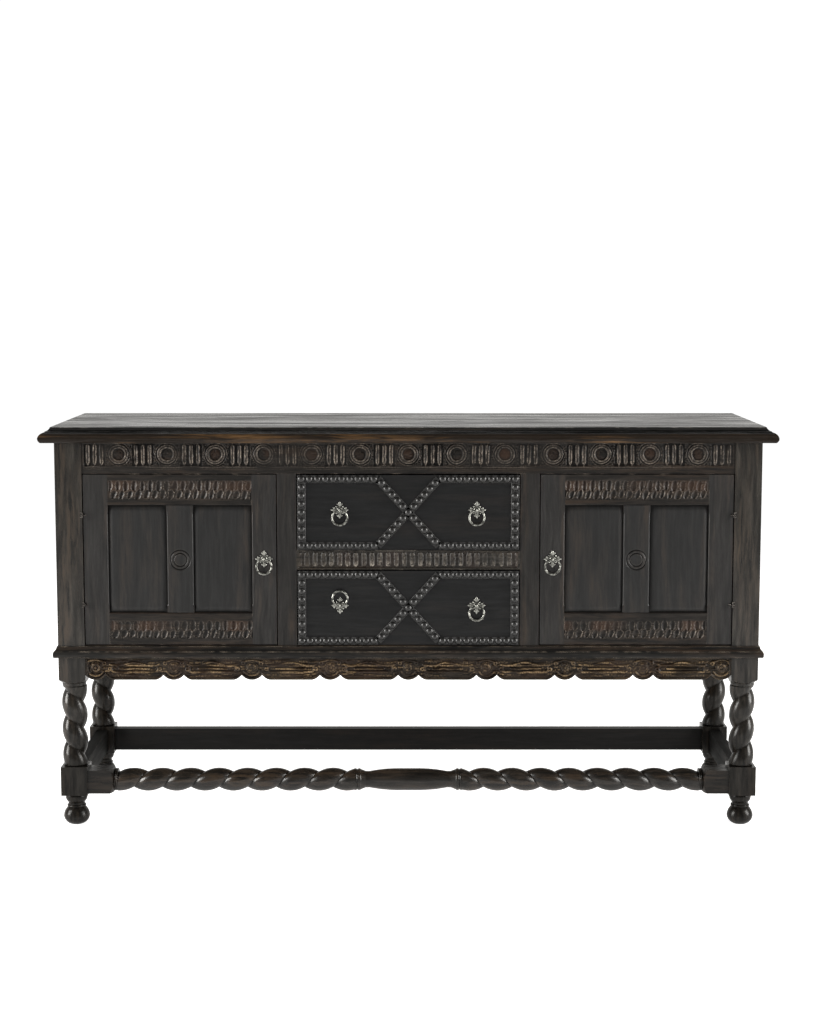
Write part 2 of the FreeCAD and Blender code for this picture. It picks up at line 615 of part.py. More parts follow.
# Corner posts, each one length of wood: turned foot, square block, twist, and the square beside the case.
turned_parts = lathe("post_turning", [
    ("0", "0", None),
    ("ball_flat_radius", "0", "-ball_low_swell"),
    ("ball_radius", "ball_middle", "-ball_high_swell"),
    ("foot_bead_radius", "ball_top", "-foot_bead_swell"),
    ("foot_bead_radius", "foot_neck_bottom", None),
    ("foot_neck_radius", "foot_neck_bottom", None),
    ("foot_neck_radius", "foot_neck_top", None),
    ("ovolo_radius", "foot_height - ovolo_height", "-ovolo_swell"),
    ("ovolo_radius", "foot_height", None),
    ("core_radius", "foot_height", None),
    ("core_radius", "block_top", None),
    ("collar_radius", "block_top", "-collar_swell"),
    ("collar_radius", "block_top + collar_height", None),
    ("core_radius", "block_top + collar_height", None),
    ("core_radius", "block_bottom - neck_throat_drop", None),
    ("neck_throat_radius", "block_bottom - neck_throat_drop", None),
    ("neck_radius", "block_bottom - neck_drop", None),
    ("neck_radius", "block_bottom - neck_top_drop", None),
    ("core_radius", "block_bottom - neck_top_drop", None),
    ("core_radius", "block_bottom", None),
    ("0", "block_bottom", None),
])
post_envelope = lathe("post_envelope", [
    ("0", "block_bottom - neck_top_drop", None),
    ("neck_radius", "block_bottom - neck_top_drop", None),
    ("post_size", "block_bottom - neck_top_drop + (post_size - neck_radius) / shoulder_slope", None),
    ("post_size", "case_top + overrun", None),
    ("0", "case_top + overrun", None),
])
POST_SQUARE = about("0", "post_size")
upper_square = board("post_upper_square", POST_SQUARE, POST_SQUARE, ("block_bottom - neck_top_drop", "case_top"))
upper_block = common("post_upper_block", [upper_square, post_envelope])
lower_block = board("post_lower_block", POST_SQUARE, POST_SQUARE, ("foot_height", "block_top"))
leg_strand = twist("post_strand", "leg_twist_radius", "leg_twist_depth", "leg_twist_pitch",
                   "block_top + collar_height / 2", "block_bottom - (neck_drop + neck_throat_drop) / 2",
                   "block_top + leg_notch_rise", math.pi, -1)
post_pieces = [turned_parts, lower_block, upper_block, leg_strand]
for place, middle in (("front", "front_post_middle"), ("rear", "rear_post_middle")):
    blank = joined("post_blank_" + place, post_pieces)
    standing = put(group("post_standing_" + place, [blank]), "-post_middle", middle, "0")
    post = cut("post_cut_" + place, standing, mortises[place])
    keep(post, "post_%s_left" % place)
    keep(mirrored("post_mirror_" + place, post), "post_%s_right" % place)

# Waist moulding: a front length and two side lengths, mitred at the corners.

def waist_profile(base):
    """The moulding's section, standing out from the case at the base."""
    return [
        (base, "waist_bottom", None),
        (base + " + waist_band_width", "waist_bottom", "-waist_band_swell"),
        (base + " + waist_band_width", "waist_top - waist_quirk_drop", None),
        (base + " + waist_hollow_width", "waist_top - waist_quirk_drop", None),
        (base + " + waist_hollow_width", "waist_top - waist_hollow_drop", "waist_hollow_depth"),
        (base + " + waist_top_width", "waist_top", None),
        (base, "waist_top", None),
    ]


def mitre_tool(label, x, y, degrees):
    """A block with one face on the mitre of the front right corner."""
    piece = board(label, ("0", "4 * waist_projection"), ("0", "2 * waist_projection"),
                  ("waist_bottom - overrun", "waist_top + overrun"))
    turned(piece, Z_AXIS, degrees)
    return put(piece, x, y, "waist_bottom - overrun")


front_run = slab("waist_front_run", "YZ_Plane", flipped(waist_profile("-case_front")),
                 "-case_half - waist_projection", "case_half + waist_projection")
side_run = slab("waist_side_run", "XZ_Plane", waist_profile("case_half"), "case_front - waist_projection",
                "case_back")
front_mitre = mitre_tool("waist_front_mitre", "case_half - waist_projection",
                         "case_front + waist_projection", -45)
side_mitre = mitre_tool("waist_side_mitre", "case_half + 2 * waist_projection",
                        "case_front - 2 * waist_projection", 135)
waist_front = cut("waist_front", front_run, [front_mitre, mirrored("waist_front_mitre_mirror", front_mitre)])
waist_side = cut("waist_side", side_run, [side_mitre])
keep(group("waist_set", [waist_front, waist_side, mirrored("waist_side_mirror", waist_side)]), "waist_moulding")

# Inside of the case: boards, partitions, shelves, runners and stops. Boards are notched round the posts.
INSIDE = ("rail_back", "rear_rail_front")
notches = []
for side, word in SIDES:
    for place, depth in (("front", ("case_front", "front_post_back")),
                         ("rear", ("rear_post_front", "case_back"))):
        notches.append(board("notch_%s_%s" % (place, word), span(side, "post_inner", "case_half"), depth,
                             ("block_bottom", "case_top")))
bottom = board("bottom_board_blank", ("-side_rail_inner", "side_rail_inner"), INSIDE,
               ("floor_level - bottom_board_thickness", "floor_level"))
keep(cut("bottom_board_cut", bottom, notches), "bottom_board")

shelf_blank = board("shelf_blank", span(-1, "partition_outer", "side_rail_inner"),
                    ("rail_back + shelf_front_gap", "rear_rail_front"), ("shelf_bottom", "shelf_top"))
shelf = cut("shelf_cut", shelf_blank, notches[:2])
partition = board("partition_board", span(-1, "divider_inner", "partition_outer"), INSIDE,
                  ("floor_level", "case_top"))
CLEAT = ("shelf_bottom - cleat_size", "shelf_bottom")
cleats = [board("inner_cleat", span(-1, "partition_outer", "partition_outer + cleat_size"), INSIDE, CLEAT),
          board("outer_cleat", span(-1, "side_rail_inner - cleat_size", "side_rail_inner"),
                ("front_post_back", "rear_post_front"), CLEAT)]
RUNNER = span(-1, "divider_inner - runner_width", "divider_inner")
runners = [board("upper_runner", RUNNER, INSIDE, ("drawer_rail_top - runner_thickness", "drawer_rail_top")),
           board("upper_kicker", RUNNER, INSIDE, ("frieze_bottom", "frieze_bottom + runner_thickness"))]
door_stop = board("door_stop_strip", span(-1, "divider_outer", "post_inner"),
                  ("door_back + fit_gap", "door_back + fit_gap + door_stop_width"),
                  ("frieze_bottom - door_stop_height", "frieze_bottom"))
stops = [board("drawer_stop_" + word, span(-1, "stop_inset", "stop_inset + stop_width"),
               ("drawer_front_back + fit_gap", "rail_back"), (level, level + " + stop_height"))
         for word, level in (("low", "floor_level"), ("high", "drawer_rail_top"))]
keep(partition, "partition_left")
keep(mirrored("partition_mirror", partition), "partition_right")
for node, pieces in (("shelves", [shelf]), ("shelf_cleats", cleats), ("drawer_runners", runners),
                     ("door_stops", [door_stop]), ("drawer_stops", stops)):
    pairs = [mirrored("%s_mirror_%d" % (node, number), piece) for number, piece in enumerate(pieces)]
    keep(group(node + "_set", pieces + pairs), node)

# Ring pulls: a four-leaf plate with a boss, an eye on a stalk, and a ring through the eye.

def leaf_plate(label):
    """The plate's outline: four pointed leaves with a round knob between each two."""
    corners = []
    for turn in range(4):
        quarter = [
            ("0", "plate_reach", "leaf_curve"),
            ("-leaf_half_width", "leaf_middle", "leaf_curve"),
            ("-leaf_root_half", "leaf_root", None),
            ("-knob_reach / 2", "knob_reach", "-knob_curve"),
            ("-knob_reach", "knob_reach / 2", None),
            ("-leaf_root", "leaf_root_half", "leaf_curve"),
            ("-leaf_middle", "leaf_half_width", "leaf_curve"),
        ]
        for across, up, rise in quarter:
            for _ in range(turn):
                across, up = "-(%s)" % up, across
            corners.append((across, up, None if rise is None else "-abs(%s)" % rise))
    return slab(label, "XZ_Plane", corners, "-plate_thickness", "0")


def pull(label, x, z, way):
    """One pull on the door or drawer face: its plate with the eye, the ring, and the tool for the stalk's
    hole. The ring hangs below the eye (-1) or stands above it (1)."""
    plate = put(leaf_plate(label + "_leaves"), x, "face", z)
    boss = rod(label + "_boss", "boss_radius", "boss_height + plate_thickness", x,
               "face - plate_thickness - boss_height", z, Y_AXIS)
    eye = rod(label + "_eye", "eye_radius", "eye_width", "(%s) - eye_width / 2" % x, "face - eye_reach", z,
              X_AXIS)
    stalk = rod(label + "_stalk", "stalk_radius", "eye_reach + stalk_depth", x, "face - eye_reach", z, Y_AXIS)
    hole = rod(label + "_hole", "eye_hole_radius", "eye_width + 2 * overrun",
               "(%s) - eye_width / 2 - overrun" % x, "face - eye_reach", z, X_AXIS)
    body = cut(label + "_plate", joined(label + "_metal", [plate, boss, eye, stalk]), [hole])
    ring = hoop(label + "_ring", "pull_ring_radius", "pull_wire_radius", x, "face - eye_reach",
                "(%s) %s pull_ring_radius" % (z, "-" if way < 0 else "+"), Y_AXIS)
    bore = rod(label + "_bore", "stalk_radius + stalk_clearance", "stalk_depth", x, "face", z, Y_AXIS)
    return body, ring, bore


# Doors: framed, with a muntin between two fielded panels. The left one is made, the right one mirrored.

def left(inner, outer):
    """The low and high place of a stretch on the left."""
    return span(-1, inner, outer)


DOOR = ("face", "door_back")
DOOR_TENON = about("door_middle_depth", "door_tenon_thickness")
TONGUE = ("tongue_front", "tongue_back")
OPENING = ("low_rail_edge", "high_rail_edge")
tongues, panels = [], []
for word, inner, outer in (("inner", "inner_stile_edge", "muntin_inner"),
                           ("outer", "muntin_outer", "outer_stile_edge")):
    x = left(inner, outer)
    tongue = board("panel_tongue_" + word, ("(%s) - panel_rebate" % x[0], "(%s) + panel_rebate" % x[1]), TONGUE,
                   ("low_rail_edge - panel_rebate", "high_rail_edge + panel_rebate"))
    field = board("panel_field_" + word, ("(%s) + field_bevel" % x[0], "(%s) - field_bevel" % x[1]),
                  ("field_front - field_step", "tongue_front"),
                  ("low_rail_edge + field_bevel", "high_rail_edge - field_bevel"))
    bevel = doc.addObject("Part::Wedge", "panel_bevel_" + word)
    for name, formula in (("Xmin", "(%s) + field_bevel" % x[0]), ("Xmax", "(%s) - field_bevel" % x[1]),
                          ("Zmin", "low_rail_edge + field_bevel"), ("Zmax", "high_rail_edge - field_bevel"),
                          ("X2min", x[0]), ("X2max", x[1]),
                          ("Z2min", "low_rail_edge"), ("Z2max", "high_rail_edge"),
                          ("Ymin", "field_front"), ("Ymax", "tongue_front")):
        bevel.setExpression(name, bound(formula))
    tongues.append(tongue)
    panels.append(joined("panel_" + word, [tongue, bevel, field]))

muntin = [board("muntin_length", left("muntin_inner", "muntin_outer"), DOOR, OPENING)]
MUNTIN_TENON = left("muntin_inner + tenon_shoulder", "muntin_outer - tenon_shoulder")
muntin_tenons = [
    board("muntin_low_tenon", MUNTIN_TENON, DOOR_TENON, ("low_rail_edge - tenon_length", "low_rail_edge")),
    board("muntin_high_tenon", MUNTIN_TENON, DOOR_TENON, ("high_rail_edge", "high_rail_edge + tenon_length"))]
door_rails, door_tenons = [], []
for word, z in (("low", ("door_bottom", "low_rail_edge")), ("high", ("high_rail_edge", "door_top"))):
    length = board("door_%s_rail_length" % word, left("inner_stile_edge", "outer_stile_edge"), DOOR, z)
    height = between_shoulders(z)
    ends = [board("door_%s_rail_%s_tenon" % (word, end), left(*x), DOOR_TENON, height)
            for end, x in (("inner", ("inner_stile_edge - door_tenon_length", "inner_stile_edge")),
                           ("outer", ("outer_stile_edge", "outer_stile_edge + door_tenon_length")))]
    door_tenons += ends
    door_rails.append(cut("door_%s_rail" % word, joined("door_%s_rail_blank" % word, [length] + ends),
                          tongues + muntin_tenons))
door_plate, door_ring, door_bore = pull("door_pull", "-door_pull_x", "door_pull_z", -1)
DOOR_HEIGHT = ("door_bottom", "door_top")
outer_stile = board("door_outer_stile", left("outer_stile_edge", "door_outer"), DOOR, DOOR_HEIGHT)
inner_stile = board("door_inner_stile", left("door_inner", "inner_stile_edge"), DOOR, DOOR_HEIGHT)
door_stiles = [cut("outer_stile_cut", outer_stile, door_tenons + [tongues[1]] + eye_holes),
               cut("inner_stile_cut", inner_stile, door_tenons + [tongues[0], door_bore])]
for node, piece in (
        ("door_stiles", group("door_stile_pair", door_stiles)),
        ("door_rails", group("door_rail_pair", door_rails)),
        ("door_muntin", cut("muntin_cut", joined("muntin_blank", muntin + muntin_tenons), tongues)),
        ("door_panels", group("door_panel_pair", panels)),
        ("door_hinge_eyes", group("hinge_eye_pair", eyes)),
        ("door_pull_plate", door_plate),
        ("door_ring", door_ring)):
    keep(piece, "left_" + node)
    keep(mirrored(node + "_mirror", piece), "right_" + node)

# Drawers, with beads on their fronts: a border at each end and a cross between.

def bead_row(label, start, end, count, skip=0):
    """Half balls at even steps from one place to another, leaving out the first few."""
    row = []
    for number in range(skip, count):
        x, z = ["(%s) + ((%s) - (%s)) * %d / %d" % (a, b, a, number, count - 1) for a, b in zip(start, end)]
        bead = doc.addObject("Part::Sphere", "%s_%d" % (label, number))
        bead.setExpression("Radius", bound("bead_radius"))
        bead.Angle3 = 180
        row.append(put(turned(bead, Z_AXIS, 180), x, "face", z))
    return row


def beading(label, low, high):
    """The bead moulding of one drawer front."""
    strip = ("face - bead_strip_thickness", "face")
    corner_x = "(drawer_half - bead_strip_width / 2)"
    corner_z = ["(%s) + bead_strip_width / 2" % low, "(%s) - bead_strip_width / 2" % high]
    corner_beads, border_beads, cross_beads = [int(value(name)) for name in (
        "corner_bead_count", "border_bead_count", "cross_bead_count")]
    pieces = []
    for side, word in SIDES:
        pieces.append(board("%s_end_%s" % (label, word),
                            span(side, "drawer_half - bead_strip_width", "drawer_half"), strip, (low, high)))
        pieces += bead_row("%s_end_beads_%s" % (label, word), (signed(side, corner_x), corner_z[0]),
                           (signed(side, corner_x), corner_z[1]), corner_beads)
        for level, height in zip(("low", "high"), corner_z):
            pieces.append(board("%s_%s_%s" % (label, level, word), span(side, "cross_half", "drawer_half"),
                                strip, about(height, "bead_strip_width")))
            pieces += bead_row("%s_%s_beads_%s" % (label, level, word), (signed(side, corner_x), height),
                               (signed(side, "cross_half + bead_strip_width / 2"), height), border_beads, 1)
    rise = "((%s) - (%s))" % (corner_z[1], corner_z[0])
    length = "sqrt((2 * cross_half) ^ 2 + %s ^ 2)" % rise
    inset_x = "cross_bead_inset * 2 * cross_half / %s" % length
    inset_z = "cross_bead_inset * %s / %s" % (rise, length)
    lean = "bead_strip_width / 2 * %s / %s" % (rise, length)
    drop = "bead_strip_width * cross_half / %s" % length
    for side, word in SIDES:
        first = (signed(side, "-cross_half + " + inset_x), "%s + %s" % (corner_z[0], inset_z))
        last = (signed(side, "cross_half - " + inset_x), "%s - %s" % (corner_z[1], inset_z))
        beads = bead_row("%s_cross_%s" % (label, word), first, last, cross_beads)
        # the bead in the middle belongs to both rows
        pieces += beads if side > 0 else beads[:cross_beads // 2] + beads[cross_beads // 2 + 1:]
        bar = turned(board("%s_cross_bar_%s" % (label, word), ("0", length), strip, ("0", "bead_strip_width")),
                     Y_AXIS, 1)
        slope = "atan(%s / (2 * cross_half))" % rise
        bar.setExpression("Placement.Rotation.Angle", bound(signed(-side, slope)))
        start_z = corner_z[0] if side > 0 else corner_z[1]
        pieces.append(put(bar, "-cross_half " + ("+ " if side > 0 else "- ") + lean, strip[0],
                          "%s - %s" % (start_z, drop)))
    return joined(label + "_strips", pieces)


def drawer(word, level, ways):
    """One drawer standing on a level. Ways are -1 for a pull whose ring hangs and 1 where it stands."""
    low, high = level + " + drawer_foot_gap", level + " + drawer_opening - drawer_head_gap"
    side_low = "%s + fit_gap" % level
    side_high = side_low + " + drawer_side_height"
    floor = side_low + " + drawer_bottom_rise"
    floor_top = floor + " + drawer_bottom_thickness"
    base = board(word + "_drawer_floor",
                 ("-drawer_inner_half - drawer_groove", "drawer_inner_half + drawer_groove"),
                 ("drawer_front_back - drawer_groove", "drawer_end"), (floor, floor_top))
    sides = [board("%s_drawer_side_%s" % (word, end), span(side, "drawer_inner_half", "drawer_half"),
                   ("drawer_front_back - drawer_lap", "drawer_end"), (side_low, side_high))
             for side, end in SIDES]
    back = board(word + "_drawer_back", ("-drawer_inner_half", "drawer_inner_half"),
                 ("drawer_end - drawer_side_thickness", "drawer_end"),
                 (floor_top, side_high + " - drawer_back_drop"))
    grooved = [cut(side.Name + "_cut", side, [base]) for side in sides]
    plates, bores = [], []
    for (side, end), way in zip(SIDES, ways):
        plate, ring, bore = pull("%s_%s_pull" % (word, end), signed(side, "pull_spacing / 2"),
                                 "%s + drawer_opening / 2 + drawer_pull_rise" % level, way)
        plates.append(plate)
        bores.append(bore)
        keep(ring, "%s_drawer_ring_%s" % (word, end))
    front = board(word + "_drawer_board", ("-drawer_half", "drawer_half"), ("face", "drawer_front_back"),
                  (low, high))
    keep(cut(word + "_drawer_front_cut", front, sides + [base] + bores), word + "_drawer_front")
    keep(group(word + "_drawer_box_set", grooved + [back]), word + "_drawer_box")
    keep(base, word + "_drawer_bottom")
    keep(beading(word + "_beading", low, high), word + "_drawer_beading")
    keep(group(word + "_pull_plate_pair", plates), word + "_drawer_pull_plates")


drawer("upper", "drawer_rail_top", (-1, -1))
drawer("lower", "floor_level", (1, -1))

# Work everything out, look for faults, and write the files.
doc.recompute()
broken = [piece.Name for piece in doc.Objects if "Invalid" in piece.State or "Error" in piece.State]
if broken:
    raise RuntimeError("not built: " + ", ".join(broken))
os.makedirs("parts", exist_ok=True)
for piece in subparts:
    if piece.Shape.isNull() or not piece.Shape.isValid() or not piece.Shape.Solids:
        raise RuntimeError("no sound shape: " + piece.Label)
for piece in subparts:
    piece.Shape.exportStep("parts/%s.step" % piece.Label)
print(len(subparts), "sub-parts written")
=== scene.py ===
"""Carved oak sideboard: the looks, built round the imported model."""
import bpy
import bmesh
import math
import numpy as np
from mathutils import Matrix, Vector


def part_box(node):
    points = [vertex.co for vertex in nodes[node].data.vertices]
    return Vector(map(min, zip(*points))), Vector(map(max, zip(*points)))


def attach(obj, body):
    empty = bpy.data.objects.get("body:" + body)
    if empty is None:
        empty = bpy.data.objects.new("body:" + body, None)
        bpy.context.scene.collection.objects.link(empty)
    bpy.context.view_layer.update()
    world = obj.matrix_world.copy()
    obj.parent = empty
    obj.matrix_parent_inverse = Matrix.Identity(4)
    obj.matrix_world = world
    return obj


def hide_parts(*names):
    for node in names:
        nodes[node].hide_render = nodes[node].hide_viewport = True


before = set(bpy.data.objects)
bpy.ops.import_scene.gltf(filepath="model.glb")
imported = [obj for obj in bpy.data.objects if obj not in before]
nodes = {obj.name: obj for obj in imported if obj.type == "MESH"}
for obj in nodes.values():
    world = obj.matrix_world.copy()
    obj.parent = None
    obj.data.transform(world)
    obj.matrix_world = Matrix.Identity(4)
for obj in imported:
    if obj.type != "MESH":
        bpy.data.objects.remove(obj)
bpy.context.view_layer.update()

MM = 0.001
SIDES = ((-1, "left"), (1, "right"))
scene = bpy.context.scene


# Camera, where the photographer stood

camera = bpy.data.objects.new("camera", bpy.data.cameras.new("camera"))
scene.collection.objects.link(camera)
scene.camera = camera
camera.data.sensor_width = 36
camera.data.lens = 68.945
camera.location = (0.003, -5.098, 1.3715)
camera.rotation_euler = (math.radians(90 - 6.671), 0, 0)
camera.data.clip_end = 50


# Node trees. In an input, a node stands for its first output and a bare number in a colour for a grey.

SOCKETS = {float: "Float", int: "Int", tuple: "Vector", type(None): "Material"}


def tree_of(*sources):
    """The tree of the nodes and sockets among some sources."""
    return next(item.id_data for item in sources if isinstance(item, (bpy.types.Node, bpy.types.NodeSocket)))


def rgba(colour):
    return (colour, colour, colour, 1) if isinstance(colour, (int, float)) else (*colour, 1)


def feed(node, inputs):
    """Fill a node's inputs with values, sockets or nodes."""
    for name, source in dict(inputs).items():
        socket = node.inputs[name]
        if isinstance(source, bpy.types.Node):
            source = source.outputs[0]
        if isinstance(source, bpy.types.NodeSocket):
            tree_of(node).links.new(source, socket)
        else:
            socket.default_value = rgba(source) if socket.type == "RGBA" else source
    return node


def wire(tree, kind, inputs=(), **settings):
    """One node: its settings, and what goes into its inputs. A kind without a family is a shader node."""
    node = tree.nodes.new(kind if "Node" in kind else "ShaderNode" + kind)
    for name, setting in settings.items():
        setattr(node, name, setting)
    return feed(node, inputs)


def math_node(operation, a, b=0.0, clamp=False):
    return wire(tree_of(a, b), "Math", {0: a, 1: b}, operation=operation, use_clamp=clamp)


def times(a, b, clamp=False):
    return math_node("MULTIPLY", a, b, clamp)


def plus(a, b):
    return math_node("ADD", a, b)


def minus(a, b, clamp=False):
    return math_node("SUBTRACT", a, b, clamp)


def vector(operation, a, b=(0, 0, 0)):
    return wire(tree_of(a, b), "VectorMath", {0: a, 1: b}, operation=operation)


def noise(place, scale, detail, roughness=0.5):
    return wire(tree_of(place), "TexNoise",
                {"Vector": place, "Scale": scale, "Detail": detail, "Roughness": roughness})


def ramp(factor, stops):
    """A colour ramp through (place, colour) stops."""
    node = wire(tree_of(factor), "ValToRGB", {0: factor})
    elements = node.color_ramp.elements
    while len(elements) < len(stops):
        elements.new(0.5)
    for element, (place, colour) in zip(elements, stops):
        element.position = place
        element.color = rgba(colour)
    return node


def mix_colour(factor, a, b, blend="MIX"):
    mix = wire(tree_of(factor, a, b), "Mix", {0: factor, 6: a, 7: b}, data_type="RGBA", blend_type=blend)
    return mix.outputs[2]


def new_tree(name, family, inputs, outputs=()):
    """An empty tree of a family: named inputs, of the kinds of their defaults, and outputs, all numbers."""
    tree = bpy.data.node_groups.new(name, family + "NodeTree")

    def socket(label, way, kind):
        return tree.interface.new_socket(label, in_out=way, socket_type="NodeSocket" + kind)

    if family == "Geometry":
        socket("Geometry", "INPUT", "Geometry")
        socket("Geometry", "OUTPUT", "Geometry")
    for label, default in inputs.items():
        made = socket(label, "INPUT", SOCKETS[type(default)])
        if default is not None:
            made.default_value = default
    for label in outputs:
        socket(label, "OUTPUT", "Float")
    return tree, tree.nodes.new("NodeGroupInput").outputs, tree.nodes.new("NodeGroupOutput")


def oak_grain_group():
    """Oak's figure along one axis, as masks: long streaks, fine pores, drawn-out patches of thin stain."""
    tree, given, out = new_tree("oak grain", "Shader", {"Place": (0, 0, 0), "Stretch": (1, 12, 12)},
                                ("Streaks", "Pores", "Patches", "Height"))
    warp = noise(given["Place"], 5.0, 2.0).outputs["Color"]
    wavy = vector("MULTIPLY", warp, (0.018, 0.018, 0.018))
    stretched = vector("MULTIPLY", vector("ADD", given["Place"], wavy), given["Stretch"])
    streaks = noise(stretched, 9.0, 7.0, 0.68)
    pores = times(minus(noise(stretched, 75.0, 3.0, 0.6), 0.55, True), 4.0, True)
    feed(out, {"Streaks": streaks, "Pores": pores, "Patches": noise(stretched, 2.2, 4.0, 0.6),
               "Height": minus(times(streaks, 0.35), pores)})
    return tree


def group_of(tree, group, inputs):
    """The outputs of a shared group placed in a tree."""
    return wire(tree, "Group", inputs, node_tree=group).outputs


def marks_of(tree, label):
    """What a carved mesh says at a place: how rubbed, sunk or stained it is."""
    return wire(tree, "Attribute", attribute_name=label).outputs["Fac"]


def rubbed_group():
    """Where hands and cloths rub the finish through, on proud edges; hollows: grime and painted shade."""
    tree, given, out = new_tree("rubbed edges", "Shader", {"Width": 0.002, "Reach": 0.006, "Break Up": 0.5},
                                ("Edges", "Hollows"))
    soft = wire(tree, "Bevel", {"Radius": given["Width"]}, samples=4)
    flat = wire(tree, "NewGeometry").outputs["Normal"]
    bend = times(minus(1.0, vector("DOT_PRODUCT", soft, flat).outputs["Value"]), 7.0, True)
    # Painted shade: ambient occlusion marks the hollows that the finishes paint darker.
    hidden = wire(tree, "AmbientOcclusion", {"Distance": given["Reach"]}, samples=4).outputs["AO"]
    place = wire(tree, "TexCoord").outputs["Object"]
    cut = times(minus(noise(place, 40.0, 3.0), given["Break Up"]), 6.0, True)
    open_edge = times(bend, math_node("POWER", hidden, 4.0))
    gritty = times(minus(noise(place, 260.0, 2.0), 0.3), 3.0, True)
    worn = times(marks_of(tree, "rubbed"), gritty)
    feed(out, {
        "Edges": math_node("MAXIMUM", times(open_edge, cut, True), worn),
        "Hollows": math_node("MAXIMUM", minus(1.0, hidden, True), marks_of(tree, "sunk"))})
    return tree


OAK_GRAIN = oak_grain_group()
RUBBED = rubbed_group()
ALONG_X, ALONG_Y, ALONG_Z = (1.0, 12.0, 12.0), (12.0, 1.0, 12.0), (12.0, 12.0, 1.0)
DARK = (0.0155, 0.014, 0.013)
BROWN = (0.052, 0.035, 0.024)
TAN = (0.13, 0.1, 0.075)
# Near-black grey for filled pores and grime, and for painted shade in hollows.
DIRT_AND_SHADE = 0.003


def new_material(name):
    """A new material, its tree and its shader."""
    material = bpy.data.materials.new(name)
    material.use_nodes = True
    return material, material.node_tree, material.node_tree.nodes["Principled BSDF"]


def oak(name, grain, dark=DARK, brown=BROWN, worn=TAN, thin=(0.48, 0.64), edge=0.4, rough=(0.34, 0.5),
        width=0.0012, reach=0.008, break_up=0.5, bump=0.15, relief=0.0006, shine=(0.3, 0.3),
        contrast=(0.35, 2.2), spread=(0.4, 0.6), band=None, warm=None, shade=None, along="Z",
        side_grain=None):
    """Dark stained oak: near black, brown where the stain is thin, and a worn colour on rubbed edges.

    Shine is the polish of dull and of bright patches, and spread how the roughness follows the figure. A band
    is (low, high, colour): heights between which long patches are rubbed thin. Warm colours the places that
    the attribute "stained" marks. A shade is painted light and shade: a run of (height, share of colour and
    polish left), or of (distance from the middle, share) where along is "X", that paints a piece darker where
    less light falls and lighter where more falls. A side grain is that of faces that look sideways.
    """
    material, tree, shader = new_material(name)
    coordinates = wire(tree, "TexCoord").outputs
    place, stretch = coordinates["Object"], grain
    if side_grain:
        sideways = math_node("ABSOLUTE", wire(tree, "SeparateXYZ", {0: coordinates["Normal"]}))
        chosen = math_node("GREATER_THAN", sideways, 0.7)
        stretch = wire(tree, "Mix", {0: chosen, 4: grain, 5: side_grain}, data_type="VECTOR").outputs[1]
    figure = group_of(tree, OAK_GRAIN, {"Place": place, "Stretch": stretch})
    rubbed = group_of(tree, RUBBED, {"Width": width, "Reach": reach, "Break Up": break_up})
    deep, light = (tuple(c * share for c in dark) for share in contrast)
    colour = ramp(figure["Streaks"], [(0.34, deep), (0.5, dark), (0.66, light)])
    bare = ramp(figure["Patches"], [(thin[0], 0), (thin[1], 1)])
    streaky = ramp(figure["Streaks"], [(0.4, 0), (0.62, 1)])
    colour = mix_colour(times(bare, streaky), colour, brown)
    axes = wire(tree, "SeparateXYZ", {0: place}).outputs
    if band:
        low, high, tint = band
        inside = times(math_node("GREATER_THAN", axes["Z"], low), math_node("LESS_THAN", axes["Z"], high))
        patchy = ramp(figure["Patches"], [(0.5, 0), (0.64, 1)])
        thin_stain = math_node("MAXIMUM", times(patchy, streaky), 0.05)
        colour = mix_colour(times(inside, thin_stain), colour, tint)
    if warm:
        colour = mix_colour(times(marks_of(tree, "stained"), 0.8), colour, warm)
    colour = mix_colour(times(figure["Pores"], 0.6), colour, DIRT_AND_SHADE)
    # Painted shade with grime: hollows, from ambient occlusion and the sunk mark, go towards near-black, and
    # their polish is dulled below.
    colour = mix_colour(times(rubbed["Hollows"], 0.85), colour, DIRT_AND_SHADE)
    colour = mix_colour(times(rubbed["Edges"], edge), colour, worn)
    even = times(plus(figure["Patches"], figure["Streaks"]), 0.5)
    polish = wire(tree, "MapRange", {"Value": even, "From Min": 0.43, "From Max": 0.57,
                                     "To Min": shine[0], "To Max": shine[1]})
    # Painted shade and painted highlight: colour and polish scaled by height, or by distance from the middle.
    if shade:
        where = math_node("ABSOLUTE", axes[along])
        painted_light_share = shade[0][1]
        for (start, before), (end, after) in zip(shade, shade[1:]):
            step = {"Value": where, "From Min": start, "From Max": end, "To Max": after - before}
            painted_light_share = plus(painted_light_share, wire(tree, "MapRange", step))
        colour = mix_colour(1.0, colour, painted_light_share, blend="MULTIPLY")
        polish = times(polish, painted_light_share)
    polish = times(polish, minus(1.0, times(rubbed["Hollows"], 0.5)))
    feed(shader, {
        "Base Color": colour, "Specular IOR Level": polish,
        "Roughness": ramp(even, [(spread[0], rough[1]), (spread[1], rough[0])]),
        "Normal": wire(tree, "Bump", {"Strength": bump, "Distance": relief, "Height": figure["Height"]})})
    return material


def metal(name, pale, dark, rough=(0.3, 0.55)):
    """Old cast metal: pale where it is handled, dark in its hollows."""
    material, tree, shader = new_material(name)
    cloud = noise(wire(tree, "TexCoord").outputs["Object"], 180.0, 4.0)
    rubbed = group_of(tree, RUBBED, {"Width": 0.0008, "Reach": 0.005, "Break Up": 0.35})
    colour = ramp(cloud, [(0.4, dark), (0.62, pale)])
    colour = mix_colour(times(rubbed["Hollows"], 0.9), colour, 0.01)
    feed(shader, {
        "Base Color": mix_colour(rubbed["Edges"], colour, pale), "Metallic": 1.0,
        "Roughness": ramp(cloud, [(0.3, rough[1]), (0.7, rough[0])]),
        "Normal": wire(tree, "Bump", {"Strength": 0.3, "Distance": 0.0004, "Height": cloud})})
    return material


